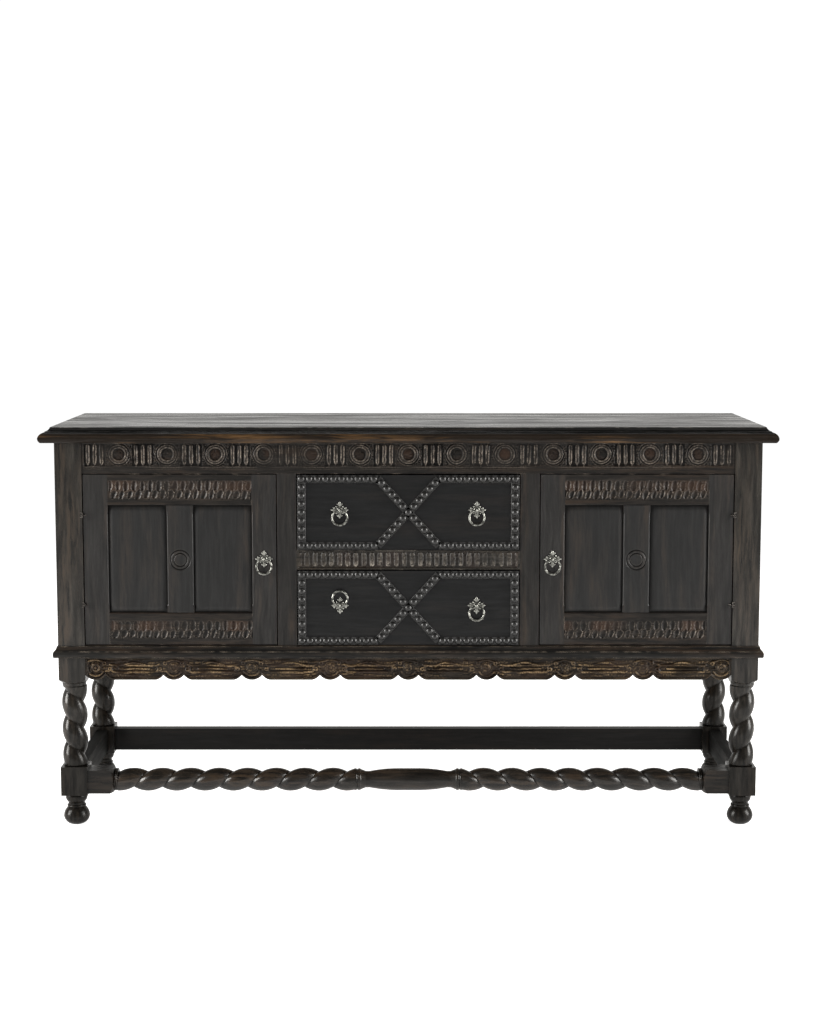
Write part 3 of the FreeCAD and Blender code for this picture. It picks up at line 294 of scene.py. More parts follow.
upright_oak = oak("dark oak, upright grain", ALONG_Z, contrast=(0.5, 1.7))
long_oak = oak("dark oak, long grain", ALONG_X, contrast=(0.5, 1.7))
deep_oak = oak("dark oak, grain front to back", ALONG_Y, contrast=(0.5, 1.7))
# Painted shade: darker, duller copies of the long and the front-to-back oak for the stretchers, which stand
# in the shade under the case.
under_oak = oak(
    "stretcher oak in the shade", ALONG_X, (0.0058, 0.0056, 0.0054), (0.011, 0.0085, 0.007),
    edge=0.15, rough=(0.5, 0.62), shine=(0.16, 0.16), contrast=(0.7, 1.4))
under_deep_oak = oak(
    "side stretcher oak", ALONG_Y, (0.005, 0.005, 0.0046), (0.009, 0.0075, 0.006),
    edge=0.15, rough=(0.6, 0.75), shine=(0.06, 0.06), contrast=(0.7, 1.4))
drawer_oak = oak(
    "drawer front oak", ALONG_X, (0.0084, 0.0086, 0.009), (0.014, 0.012, 0.011),
    rough=(0.34, 0.4), shine=(0.22, 0.26), contrast=(0.75, 1.35), bump=0.08)
panel_oak = oak(
    "door panel oak", ALONG_Z, (0.015, 0.0148, 0.0148), (0.03, 0.023, 0.0185),
    rough=(0.36, 0.42), shine=(0.3, 0.38), contrast=(0.86, 1.14), bump=0.06)
# Worn edges, widened and paler, standing in also for painted highlights along the moulding's arrises.
moulding_oak = oak(
    "waist moulding oak", ALONG_X, (0.0085, 0.0078, 0.007), (0.036, 0.023, 0.015), (0.24, 0.2, 0.155),
    edge=0.85, shine=(0.2, 0.26), width=0.0024, break_up=0.42)
# Painted light on the top board: by height, the shade run darkens the lower nosing and the hollow under the
# lip, and paints a light line on the upper nosing and a light band just under the top's edge, in colour and
# polish; the worn front edge is widened to stand in also for the highlight on its rounded arris.
top_oak = oak(
    "top board oak", (0.6, 12.0, 12.0), (0.0105, 0.01, 0.0096), (0.026, 0.021, 0.017), (0.24, 0.22, 0.2),
    rough=(0.18, 0.56), bump=0.22, relief=0.0012, band=(0.977, 1.0005, (0.26, 0.14, 0.056)),
    shine=(0.12, 0.48), width=0.003, edge=0.9, contrast=(0.7, 1.5), spread=(0.43, 0.57),
    shade=((0.99, 0.55), (0.996, 0.9), (0.9982, 0.5), (0.9992, 0.85), (1.0013, 0.85), (1.0024, 0.22),
           (1.0085, 0.24), (1.0105, 1.6), (1.0125, 1.6), (1.014, 1.0)))
carved_oak = oak(
    "carved oak, rubbed tan", ALONG_X, (0.0115, 0.0095, 0.008), (0.028, 0.018, 0.012), (0.32, 0.265, 0.215),
    edge=0.95, shine=(0.24, 0.28), warm=(0.048, 0.025, 0.015))
rail_oak = oak(
    "carved rail oak", ALONG_X, (0.0205, 0.018, 0.015), (0.036, 0.027, 0.019), (0.36, 0.32, 0.27),
    edge=0.95, shine=(0.28, 0.32), warm=(0.04, 0.026, 0.021))
apron_oak = oak(
    "apron oak, rubbed gold", ALONG_X, (0.018, 0.013, 0.009), (0.046, 0.03, 0.016), (0.33, 0.225, 0.12),
    thin=(0.42, 0.62), edge=0.9, shine=(0.24, 0.26), warm=(0.036, 0.02, 0.012))
stile_oak = oak(
    "door stile oak", ALONG_Z, (0.018, 0.0168, 0.0162), (0.044, 0.033, 0.0255),
    contrast=(0.55, 1.6), shine=(0.32, 0.34))
# Painted shade and light: the shade run paints the low blocks and feet darker and the posts lighter higher
# up.
turned_oak = oak(
    "turned oak", ALONG_Z, (0.014, 0.0124, 0.0105), (0.032, 0.0235, 0.017),
    rough=(0.2, 0.32), shade=((0.14, 0.64), (0.5, 1.48)), shine=(0.24, 0.3))
# Painted shade: the shade run paints the stretcher's end blocks, past 0.74 m from the middle, darker.
long_turned_oak = oak(
    "turned oak, long grain", ALONG_X, (0.013, 0.0112, 0.0095), (0.04, 0.027, 0.0175),
    rough=(0.2, 0.32), thin=(0.45, 0.62), shine=(0.34, 0.4), along="X", shade=((0.735, 1.0), (0.745, 0.62)))
bead_oak = oak(
    "bead oak", ALONG_X, (0.029, 0.028, 0.0275), (0.042, 0.038, 0.034), (0.13, 0.12, 0.11),
    edge=0.3, rough=(0.32, 0.42), reach=0.0025, shine=(1.0, 1.0), contrast=(0.7, 1.3))
inner_oak = oak(
    "inside oak", ALONG_X, (0.15, 0.095, 0.055), (0.21, 0.14, 0.085), (0.28, 0.2, 0.13),
    rough=(0.5, 0.7), edge=0.3, contrast=(0.72, 1.3), bump=0.08, side_grain=ALONG_Y)
pull_metal = metal("aged white brass", (0.47, 0.47, 0.43), (0.06, 0.06, 0.055))
hinge_metal = metal("worn iron wire", (0.12, 0.11, 0.1), (0.035, 0.03, 0.028))

DRESS = {
    "top_board": top_oak, "frieze_rail": carved_oak, "drawer_rail": rail_oak, "front_apron": apron_oak,
    "waist_moulding": moulding_oak, "rear_top_rail": long_oak, "rear_apron": long_oak,
    "rear_stretcher": under_oak, "front_stretcher": long_turned_oak, "hinge_staples": hinge_metal,
    "side_top_rails": deep_oak, "side_apron_left": deep_oak, "side_apron_right": deep_oak,
    "side_stretcher_left": under_deep_oak, "side_stretcher_right": under_deep_oak,
}
INNER = ("back_panel", "bottom_board", "partition", "shelves", "shelf_cleats", "drawer_runners", "door_stops",
         "drawer_stops", "drawer_box", "drawer_bottom")
BY_WORDS = (
    (INNER, inner_oak), (("hinge",), hinge_metal), (("pull", "ring"), pull_metal), (("post",), turned_oak),
    (("beading",), bead_oak), (("drawer",), drawer_oak), (("door_panels",), panel_oak))


def dressing(node):
    """The finish of a node that is shown as the joiner's plain piece."""
    if node in DRESS:
        return DRESS[node]
    for words, material in BY_WORDS:
        if any(word in node for word in words):
            return material
    return upright_oak


def dress(mesh, material):
    mesh.materials.clear()
    mesh.materials.append(material)


for node, piece in nodes.items():
    dress(piece.data, dressing(node))


# Carved boards. Places on a face are in millimetres: x across the front, z up.

FACE, RAIL_BACK, DOOR_BACK = -242.0, -214.0, -220.0
FRIEZE_LOW, FRIEZE_HIGH = 899.5, 978.0
POST_INNER = 813.0
DOOR_LOW, DOOR_HIGH, LOW_RAIL_EDGE, HIGH_RAIL_EDGE = 468.5, 897.0, 549.5, 820.0
DOOR_INNER, INNER_STILE, OUTER_STILE, DOOR_OUTER = 330.0, 391.0, 749.5, 810.5
MUNTIN_MIDDLE, MUNTIN_HALF, MUNTIN_ROUNDEL_LEVEL = 570.25, 33.5, 683.0
MUNTIN_NEAR, MUNTIN_FAR = MUNTIN_MIDDLE - MUNTIN_HALF, MUNTIN_MIDDLE + MUNTIN_HALF
PANEL_FRONT, PANEL_BACK = -240.0, -227.0
CHAMFER_STOP = 14.0
ROUNDEL_PITCH, ROUNDEL_LEVEL = 120.0, 948.0
FLUTE_PITCH, FLUTE_LOW, FLUTE_HIGH = 17.0, 920.3, 972.6
HIGH_LINE, LOW_LINE = 917.2, 912.8
TONGUE_PITCH, TONGUE_LOW, TONGUE_HIGH = 20.2, 666.0, 702.0
LEAF_PITCH, LEAF_HALF, LEAVES = 20.4, 7.0, 97
ROSETTE_PITCH, ROSETTE_LEVEL, STRAP_LEVEL, APRON_LINE = 196.875, 409.0, 405.5, 431.5
APRON_LOW, APRON_HIGH, CUSP_RISE = 378.0, 466.0, 12.3
LOBE_HALF, CUSP_FLARE = 25.5, 22.0


def spaced(low, high, step):
    """Even places from low to high, no farther apart than about a step."""
    return np.linspace(low, high, max(2, int(round((high - low) / step)) + 1))


def rise(low, high, x):
    """0 below low, 1 above high, and a smooth way between."""
    share = np.clip((x - low) / (high - low), 0, 1)
    return share * share * (3 - 2 * share)


def groove(distance, half_width):
    """A round-bottomed cut, 1 in its middle and 0 at its edges."""
    return np.clip(1 - (distance / half_width) ** 2, 0, 1)


def lumps(x, z, size, seed, tall=None):
    """Smooth random lumps over a face, from -1 to 1, about one size across and as tall unless said."""
    draw = np.random.default_rng(seed)
    u, v = (x - x.min()) / size, (z - z.min()) / (tall or size)
    cells = draw.uniform(-1, 1, (int(u.max()) + 3, int(v.max()) + 3))
    i, j = u.astype(int), v.astype(int)
    s, t = rise(0, 1, u - i), rise(0, 1, v - j)
    low = cells[i, j] * (1 - s) + cells[i + 1, j] * s
    high = cells[i, j + 1] * (1 - s) + cells[i + 1, j + 1] * s
    return low * (1 - t) + high * t


def plane_marks(x, z, seed):
    """The slow unevenness that a hand plane leaves."""
    return 0.12 + 0.12 * lumps(x, z, 70, seed)


def softened(field, reach):
    """The field averaged over a square of 2 * reach + 1 cells."""
    for axis in (0, 1):
        first, last = field.take([0], axis), field.take([-1], axis)
        wide = [np.repeat(first, reach + 1, axis), field, np.repeat(last, reach, axis)]
        total = np.cumsum(np.concatenate(wide, axis), axis)
        count, length = 2 * reach + 1, total.shape[axis]
        before, after = total.take(range(length - count), axis), total.take(range(count, length), axis)
        field = (after - before) / count
    return field


def carved(columns, lower, upper, rows, relief, front=FACE, back=RAIL_BACK, rub_reach=2, rub=1.6, shade_and_dirt=0.6):
    """A board with a fine face sunk by its relief: corners, faces, and each corner's marks.

    The relief gives each place's depth, how bare it is rubbed where it stands proud, and how stained it is.
    The marks are how rubbed, how sunk and how stained a corner is, from 0 to 1.
    """
    x = np.repeat(columns[:, None], rows, 1)
    lower, upper = (np.broadcast_to(edge, columns.shape)[:, None] for edge in (lower, upper))
    z = lower + (upper - lower) * np.linspace(0, 1, rows)[None, :]
    depth, bare, stained = [np.broadcast_to(field, x.shape) for field in relief(x, z)]
    depth = np.maximum(depth, 0)
    # Wear, and partly painted highlight: some reliefs lighten the lit sides of their ridges, or their ends,
    # in this mark.
    rubbed = np.clip((softened(depth, rub_reach) - depth) * rub, 0, 1) * np.clip(bare, 0, 1)
    # Painted shade, with grime: the sunk mark, darker the deeper a cut and the sharper its hollow.
    sunk = (np.clip(depth / 3, 0, 1) + np.clip(depth - softened(depth, 2), 0, 1)) * shade_and_dirt
    across, up = x.shape
    face = np.stack([x, front + depth, z], -1).reshape(-1, 3)
    rear = np.stack([x[:, [0, -1]], np.full((across, 2), back), z[:, [0, -1]]], -1).reshape(-1, 3)
    number = np.arange(across * up).reshape(across, up)
    behind = across * up + np.arange(across * 2).reshape(across, 2)
    faces = np.stack([number[:-1, :-1], number[1:, :-1], number[1:, 1:], number[:-1, 1:]], -1)
    faces = faces.reshape(-1, 4).tolist()
    for near, far in ((number[:, 0], behind[:, 0]), (number[::-1, -1], behind[::-1, 1]), behind.T):
        faces += np.stack([near[:-1], far[:-1], far[1:], near[1:]], -1).tolist()
    faces.append(number[0, :].tolist() + [int(behind[0, 1]), int(behind[0, 0])])
    faces.append(number[-1, ::-1].tolist() + [int(behind[-1, 0]), int(behind[-1, 1])])
    plain = np.zeros(across * 2)
    marks = [np.concatenate([field.ravel(), plain]) for field in (rubbed, sunk, np.clip(stained, 0, 1))]
    return np.concatenate([face, rear]) * MM, faces, marks


def piece_of(name, parts, material, body, replaced):
    """One object from several (corners, faces, marks) parts, in place of the nodes it stands for."""
    corners, faces, start = [], [], 0
    for part in parts:
        corners += part[0].tolist()
        faces += [[index + start for index in face] for face in part[1]]
        start += len(part[0])
    mesh = bpy.data.meshes.new(name)
    mesh.from_pydata(corners, [], faces)
    for number, label in enumerate(("rubbed", "sunk", "stained")):
        values = np.concatenate([part[2][number] for part in parts])
        mesh.attributes.new(label, "FLOAT", "POINT").data.foreach_set("value", values)
    mesh.polygons.foreach_set("use_smooth", [True] * len(mesh.polygons))
    mesh.set_sharp_from_angle(angle=math.radians(50))
    place_piece(name, mesh, material, body, replaced)


def place_piece(name, mesh, material, body, replaced):
    """Put a finished mesh in the scene on its body, in place of the nodes it stands for."""
    piece = bpy.data.objects.new(name, mesh)
    dress(mesh, material)
    scene.collection.objects.link(piece)
    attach(piece, body)
    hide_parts(*replaced)


def roundel(radius):
    """A raised ring between two cuts, round a sunk disc with a low dome."""
    ring_cuts = 2.4 * groove(radius - 26.5, 2.8) + 1.2 * groove(radius - 20.5, 1.2)
    disc = 2.8 * rise(16.5, 14.2, radius) - 0.9 * groove(radius, 13.5)
    return ring_cuts + disc


def frieze_relief(x, z):
    """Thirteen roundels with three flutes between each two, over two scratched lines."""
    x = x + 0.7 * lumps(x, z, 35, 11) + 0.55 * lumps(x, z, 7, 81)
    z = z + 0.6 * lumps(x, z, 30, 12) + 0.4 * lumps(x, z, 8, 82)
    inside = rise(FLUTE_LOW - 1.5, FLUTE_LOW, z) * rise(FLUTE_HIGH + 1.5, FLUTE_HIGH, z)
    inside = inside * rise(808, 806, abs(x))
    round_middle = np.clip(np.round(x / ROUNDEL_PITCH), -6, 6) * ROUNDEL_PITCH
    radius = np.hypot(x - round_middle, z - ROUNDEL_LEVEL)
    across = x - (np.floor(x / ROUNDEL_PITCH) + 0.5) * ROUNDEL_PITCH
    strip = across - FLUTE_PITCH * np.clip(np.round(across / FLUTE_PITCH), -1, 1)
    half = 3.9 * rise(FLUTE_LOW - 1, FLUTE_LOW + 9, z) * rise(FLUTE_HIGH + 1, FLUTE_HIGH - 4, z) + 0.4
    raised = rise(half + 1.0, half - 0.6, abs(strip))
    flutes = 2.9 * (1 - raised) + raised * 1.3 * groove(strip, 1.7)
    in_flutes = rise(27.5, 26, abs(across))
    ground = 1.1 + np.clip(lumps(x, z, 2.6, 13) * 2.4, 0, 1) * 1.4
    in_round = rise(30, 28.6, radius)
    depth = in_flutes * flutes + (1 - in_flutes) * (in_round * roundel(radius) + (1 - in_round) * ground)
    chips = rise(13, 11, radius) * np.clip(lumps(x, z, 4.5, 14), 0, 1) * 1.2
    depth = (depth + chips * (1 - in_flutes)) * inside
    worn = np.clip(0.75 + 0.7 * lumps(x, z, 60, 15), 0.25, 1.25)
    lines = 1.1 * groove(z - HIGH_LINE, 1.3) + 0.9 * groove(z - LOW_LINE, 1.2)
    broken = np.clip(lumps(x, z, 45, 16) * 2 + 0.9, 0, 1)
    depth = depth * worn + lines * broken * rise(806, 802, abs(x)) + plane_marks(x, z, 17)
    patchy = np.clip(0.62 + 0.75 * lumps(x, z, 6, 18, 11), 0.05, 1.3)
    low_end = 0.8 + 0.5 * rise(FLUTE_LOW + 16, FLUTE_LOW + 4, z)
    at_rings = in_round * rise(14, 16, radius)
    bare = in_flutes * raised * patchy * low_end + (1 - in_flutes) * (0.11 + 0.45 * at_rings * patchy)
    bare = np.where(z < FLUTE_LOW - 2, 0.28 * broken, bare)
    stained = rise(15.5, 13, radius) * (1 - in_flutes) * np.clip(0.5 + 0.9 * lumps(x, z, 26, 19), 0, 1)
    return depth, bare, stained


def drawer_rail_relief(x, z):
    """A row of raised tongues with round ends, on a sunk ground."""
    x = x + 0.8 * lumps(x, z, 25, 21)
    inside = rise(TONGUE_LOW - 4.5, TONGUE_LOW - 2.5, z) * rise(TONGUE_HIGH + 2.2, TONGUE_HIGH + 0.8, z)
    inside = inside * rise(275, 273, abs(x))
    across = x - (np.floor(x / TONGUE_PITCH) + 0.5) * TONGUE_PITCH
    half = 6.0 + 0.9 * lumps(x, z, 18, 26, 60)
    end = np.hypot(across, np.minimum(z - TONGUE_LOW - half, 0))
    top = np.hypot(across, np.maximum(z - TONGUE_HIGH + half * 1.6, 0) / 1.6)
    distance = np.maximum(end, top)
    raised = rise(half + 0.9, half - 0.7, distance)
    swell = 1.5 * (1 - groove(across, half)) + 0.6 * np.clip(lumps(x, z, 3.4, 27), 0, 1)
    worn = np.clip(0.85 + 0.5 * lumps(x, z, 70, 22), 0.4, 1.2)
    chips = np.clip(lumps(x, z, 4.0, 28) * 1.5 - 0.5, 0, 1) * 1.4
    depth = inside * (raised * swell + (1 - raised) * 3.0 + chips) * worn + plane_marks(x, z, 23)
    # Rubbed paler towards the tongues' rounded lower ends: wear, and partly a painted highlight there.
    low_end = rise(TONGUE_LOW + 15, TONGUE_LOW + 4, z)
    patchy = np.clip(0.65 + 0.9 * lumps(x, z, 4.5, 24, 9), 0.1, 1.6)
    along = np.clip(0.75 + 0.55 * lumps(x, z, 120, 25), 0.25, 1.2)
    bare = inside * raised * (0.5 + 0.9 * low_end) * patchy * along
    return depth, bare, inside * np.clip(0.2 + 0.5 * lumps(x, z, 40, 29), 0, 1)


def leaf_rows_relief(middle, half_height, seed, low_edge, high_edge):
    """Two staggered rows of wide gouge cuts about a middle height, with a narrow ridge between each two."""
    def relief(x, z):
        wander_x = x + 1.1 * lumps(x, z, 22, seed) + 0.9 * lumps(x, z, 5, seed + 30)
        depth = np.zeros_like(x)
        ridges = np.zeros_like(x)
        hand = np.random.default_rng(seed + 5)
        for row, lean, shift, strength, share in ((1, 0.06, 0.0, 0.4, 0.62), (-1, 0.24, 0.5, 1.0, 0.52)):
            up = z - (middle + row * half_height * 0.5)
            slanted = wander_x - lean * up - shift * LEAF_PITCH
            number = np.floor(slanted / LEAF_PITCH).astype(int)
            across = slanted - (number + 0.5) * LEAF_PITCH
            off, tall, wide, bold = hand.uniform(-1, 1, (4, LEAVES))[:, number % LEAVES]
            up = up + 1.2 * off
            reach = half_height * share * (1 + 0.13 * tall)
            half = LEAF_HALF * (1 + 0.12 * wide) * np.clip(1 - abs(up / reach) ** 3, 0, 1) ** 0.6 + 0.001
            cut = np.where(abs(up) < reach, 3.1 * groove(across, half) ** 0.8 * np.clip(half / 5, 0, 1), 0)
            strength = strength * (1 + 0.35 * bold)
            depth = np.maximum(depth, cut)
            level = rise(reach, reach * 0.45, abs(up + reach * 0.1))
            # Painted highlight: the ridge on the right edge of each cut is rubbed pale in full and the one on
            # its left a third as much, as if lit from the left.
            for way, part in ((1, 1.0), (-1, 0.35)):
                at_edge = rise(1.9, 0.6, abs(across - way * half))
                ridges = np.maximum(ridges, strength * part * at_edge * level)
            ridges = ridges + (row > 0) * 0.12 * rise(half, half * 0.4, abs(across)) * level
        inside = rise(747, 744, abs(x)) * rise(386, 389, abs(x))
        worn = np.clip(0.85 + 0.4 * lumps(x, z, 50, seed + 1), 0.5, 1.2)
        arris = np.clip(z - high_edge + 2.2, 0, 3) + np.clip(low_edge + 2.2 - z, 0, 3)
        in_rows = rise(half_height + 4, half_height, abs(z - middle)) * inside
        chips = np.clip(lumps(x, z, 3.2, seed + 6) * 1.8 - 0.5, 0, 1) * 1.1 * in_rows
        depth = np.maximum(depth * inside * worn, chips) + arris + plane_marks(x, z, seed + 2)
        patchy = 0.55 + 0.6 * lumps(x, z, 9, seed + 3) + 0.55 * lumps(x, z, 3.6, seed + 7)
        bare = (1.2 * ridges * np.clip(patchy, 0.05, 1.25) + 0.16) * in_rows
        stained = in_rows * np.clip(0.3 + 0.8 * lumps(x, z, 45, seed + 4), 0, 1)
        return depth, bare, stained * rise(middle - 8, middle + 2, z)
    return relief


def chamfered(edge_distance, z, width):
    """A chamfer along an upright edge of a panel's frame, stopped short of both ends."""
    low, high = LOW_RAIL_EDGE + CHAMFER_STOP, HIGH_RAIL_EDGE - CHAMFER_STOP
    full = rise(low, low + 8, z) * rise(high, high - 8, z)
    return np.clip(width - edge_distance, 0, width) * full


def muntin_relief(x, z):
    """One roundel between two stopped chamfers."""
    middle = np.sign(x) * MUNTIN_MIDDLE
    radius = np.hypot(x - middle, z - MUNTIN_ROUNDEL_LEVEL)
    inside = MUNTIN_HALF - abs(x - middle)
    ring = 2.2 * groove(radius - 24.5, 2.2) + 2.2 * groove(radius - 16.5, 2.0) + 0.4 * rise(16, 12, radius)
    chips = np.clip(lumps(x, z, 9, 41) * 1.5 - 0.4, 0, 1) * 0.7 * rise(26, 22, radius)
    chamfer = chamfered(inside, z, 3.2)
    return ring + chips + chamfer + plane_marks(x, z, 42), 0.35 * rise(28, 26, radius), 0


def stile_relief(panel_edge):
    """A plain stile with a stopped chamfer beside the panels."""
    def relief(x, z):
        inside = abs(abs(x) - panel_edge)
        return chamfered(inside, z, 2.8) + plane_marks(x, z, 43), 0, 0
    return relief


def arc_rise(share, chord, height):
    """How far an arc of a circle stands off its chord at a share of the way along."""
    radius = chord ** 2 / (8 * height) + height / 2
    off_middle = (share - 0.5) * chord
    return np.sqrt(radius ** 2 - off_middle ** 2) - (radius - height)


def apron_edge(x):
    """The scalloped lower edge: an arc under each rosette, flared to the flats by a cusp on each side."""
    near = abs(x - np.clip(np.round(x / ROSETTE_PITCH), -4, 4) * ROSETTE_PITCH)
    lobe = CUSP_RISE - arc_rise(np.clip(near / LOBE_HALF / 2 + 0.5, 0, 1), 2 * LOBE_HALF, CUSP_RISE)
    share = np.clip((near - LOBE_HALF) / CUSP_FLARE, 0, 1)
    flare = CUSP_RISE * (1 - share) - arc_rise(share, math.hypot(CUSP_FLARE, CUSP_RISE), 3.2) * 0.95
    flare = np.where(share >= 1, 0, np.maximum(flare, 0))
    return APRON_LOW + np.where(near < LOBE_HALF, lobe, flare)


def apron_columns():
    """Even columns, with one on every corner of the scallops."""
    marks, foot = [-POST_INNER, POST_INNER], LOBE_HALF + CUSP_FLARE
    for number in range(-4, 5):
        marks += [number * ROSETTE_PITCH + offset for offset in (-foot, -LOBE_HALF, 0, LOBE_HALF, foot)]
    marks = sorted(mark for mark in set(marks) if abs(mark) <= POST_INNER)
    stretches = [spaced(a, b, FRIEZE_STEP)[:-1] for a, b in zip(marks, marks[1:])]
    return np.concatenate(stretches + [[POST_INNER]])


def apron_relief(x, z):
    """A flower in a ring on each lobe, with curls beside it, and a loop of strapwork between each two."""
    x = x + 1.6 * lumps(x, z, 26, 31)
    z = z + 1.1 * lumps(x, z, 21, 32)
    across = x - np.clip(np.round(x / ROSETTE_PITCH), -4, 4) * ROSETTE_PITCH
    radius = np.hypot(across, z - ROSETTE_LEVEL)
    angle = np.arctan2(z - ROSETTE_LEVEL, across)
    petals = 1.2 * groove(np.sin(angle * 2.5) * 6, 3) * rise(11, 9.5, radius) * rise(5.5, 7, radius)
    flower = 2.6 * groove(radius - 12.2, 2.0) + petals + 1.8 * groove(radius - 4.6, 1.3)
    near_rosette = rise(14.6, 13.6, radius)
    curl_distance = np.hypot(abs(across) - 22.0, z - ROSETTE_LEVEL - 11.0)
    curls = rise(5.6, 4.8, curl_distance) * rise(1.4, 2.4, curl_distance)
    bow_up = z - (ROSETTE_LEVEL + 19.0 - 0.012 * across ** 2)
    bow = rise(2.6, 1.6, abs(bow_up)) * rise(21, 18, abs(across))
    hem = rise(2.2, 1.3, abs(radius - 21.5)) * rise(ROSETTE_LEVEL - 8, ROSETTE_LEVEL - 11, z)
    at_lobe = np.clip(curls + bow + hem, 0, 1)
    between = abs(abs(across) - ROSETTE_PITCH / 2)
    level = z - STRAP_LEVEL
    pill = np.hypot(np.maximum(between - 50, 0), level)
    strap = rise(11.6, 10.6, pill) * rise(6.0, 7.0, pill)
    inner = rise(5.6, 4.6, pill)
    bar = rise(2.2, 1.4, abs(level)) * rise(40, 37, between)
    boss_distance = np.hypot(between - 62.5, level + 0.5)
    boss = rise(5.8, 5.0, boss_distance) * rise(1.2, 2.2, boss_distance)
    leaf_up = z - (417.5 + 4.5 * np.cos(between / 14))
    leaf = rise(2.6, 1.7, abs(leaf_up)) * rise(66, 60, between)
    raised = np.clip(strap + bar + boss + leaf + at_lobe, 0, 1)
    loops = 2.8 * (1 - raised) + 0.8 * inner * (1 - bar) + 0.5 * raised * groove(pill - 8.6, 1.1)
    field = rise(3.5, 5.0, z - apron_edge(x)) * rise(431, 428.5, z) * rise(809, 806, abs(x))
    depth = near_rosette * flower + (1 - near_rosette) * loops
    ragged = np.clip(lumps(x, z, 3.2, 33) * 1.6, 0, 1) * 0.9
    scratched = np.clip(lumps(x, z, 24, 36, 2.6) * 2.2 - 0.3, 0, 1) * 1.5 * (1 - near_rosette)
    worn = np.clip(0.85 + 0.5 * lumps(x, z, 40, 34), 0.35, 1.2)
    top_line = 1.2 * groove(z - APRON_LINE, 1.2)
    depth = (depth + ragged * (1 - raised) + scratched) * field * worn + top_line + plane_marks(x, z, 35)
    patchy = np.clip(0.35 + 0.9 * lumps(x, z, 30, 37, 5), 0, 1)
    speckled = np.clip(0.5 + lumps(x, z, 6, 38), 0, 1)
    bare = field * (1.2 * (1 - near_rosette) * patchy * (1 - 0.3 * at_lobe) + 0.6 * near_rosette * speckled)
    return depth, bare, field * np.clip(0.3 + lumps(x, z, 60, 39), 0, 1)


def panel_relief(x, z):
    """A flat field that falls away softly to its four edges."""
    near_middle, far_middle = (INNER_STILE + MUNTIN_NEAR) / 2, (MUNTIN_FAR + OUTER_STILE) / 2
    middle = np.sign(x) * np.where(abs(x) < MUNTIN_MIDDLE, near_middle, far_middle)
    half = (MUNTIN_NEAR - INNER_STILE) / 2
    to_side = half - abs(x - middle)
    to_end = (HIGH_RAIL_EDGE - LOW_RAIL_EDGE) / 2 - abs(z - (HIGH_RAIL_EDGE + LOW_RAIL_EDGE) / 2)
    corner = 4.0
    edge = -corner * np.log(np.exp(-to_side / corner) + np.exp(-to_end / corner))
    fall = 1 - rise(-4, 13, edge)
    return 4.5 * fall + 0.25 + 0.25 * lumps(x, z, 55, 61), 0, 0


FRIEZE_ROWS, DRAWER_RAIL_ROWS, APRON_ROWS, MUNTIN_ROWS, PANEL_ROWS, STILE_ROWS = 59, 49, 62, 230, 110, 150
FRIEZE_STEP, RAIL_STEP, MUNTIN_STEP, PANEL_STEP, STILE_STEP = 1.35, 1.0, 1.1, 2.2, 3.0
DRAWER_RAIL_HALF, DRAWER_RAIL_LOW, DRAWER_RAIL_HIGH = 279.5, 658.75, 706.75
EVERYWHERE = 1e4
# Each door rail: its edges, its rows, and its leaf rows' middle, half height, seed and arrises.
DOOR_RAILS = ((HIGH_RAIL_EDGE, DOOR_HIGH, 74, (858.2, 21.5, 51, HIGH_RAIL_EDGE, EVERYWHERE)),
              (DOOR_LOW, LOW_RAIL_EDGE, 78, (505.6, 20.5, 55, -EVERYWHERE, LOW_RAIL_EDGE)))


def door_columns(near, far, step, side):
    """Even columns of one door, between two distances from the middle of the front."""
    return spaced(*sorted((side * near, side * far)), step)


def stile_columns(near, far, panel_edge, side):
    """Columns of a stile, close together at its chamfer."""
    places = np.concatenate([spaced(near, far, STILE_STEP), panel_edge + np.linspace(-4, 4, 9)])
    return np.sort(side * np.unique(np.round(places[(places >= near) & (places <= far)], 3)))


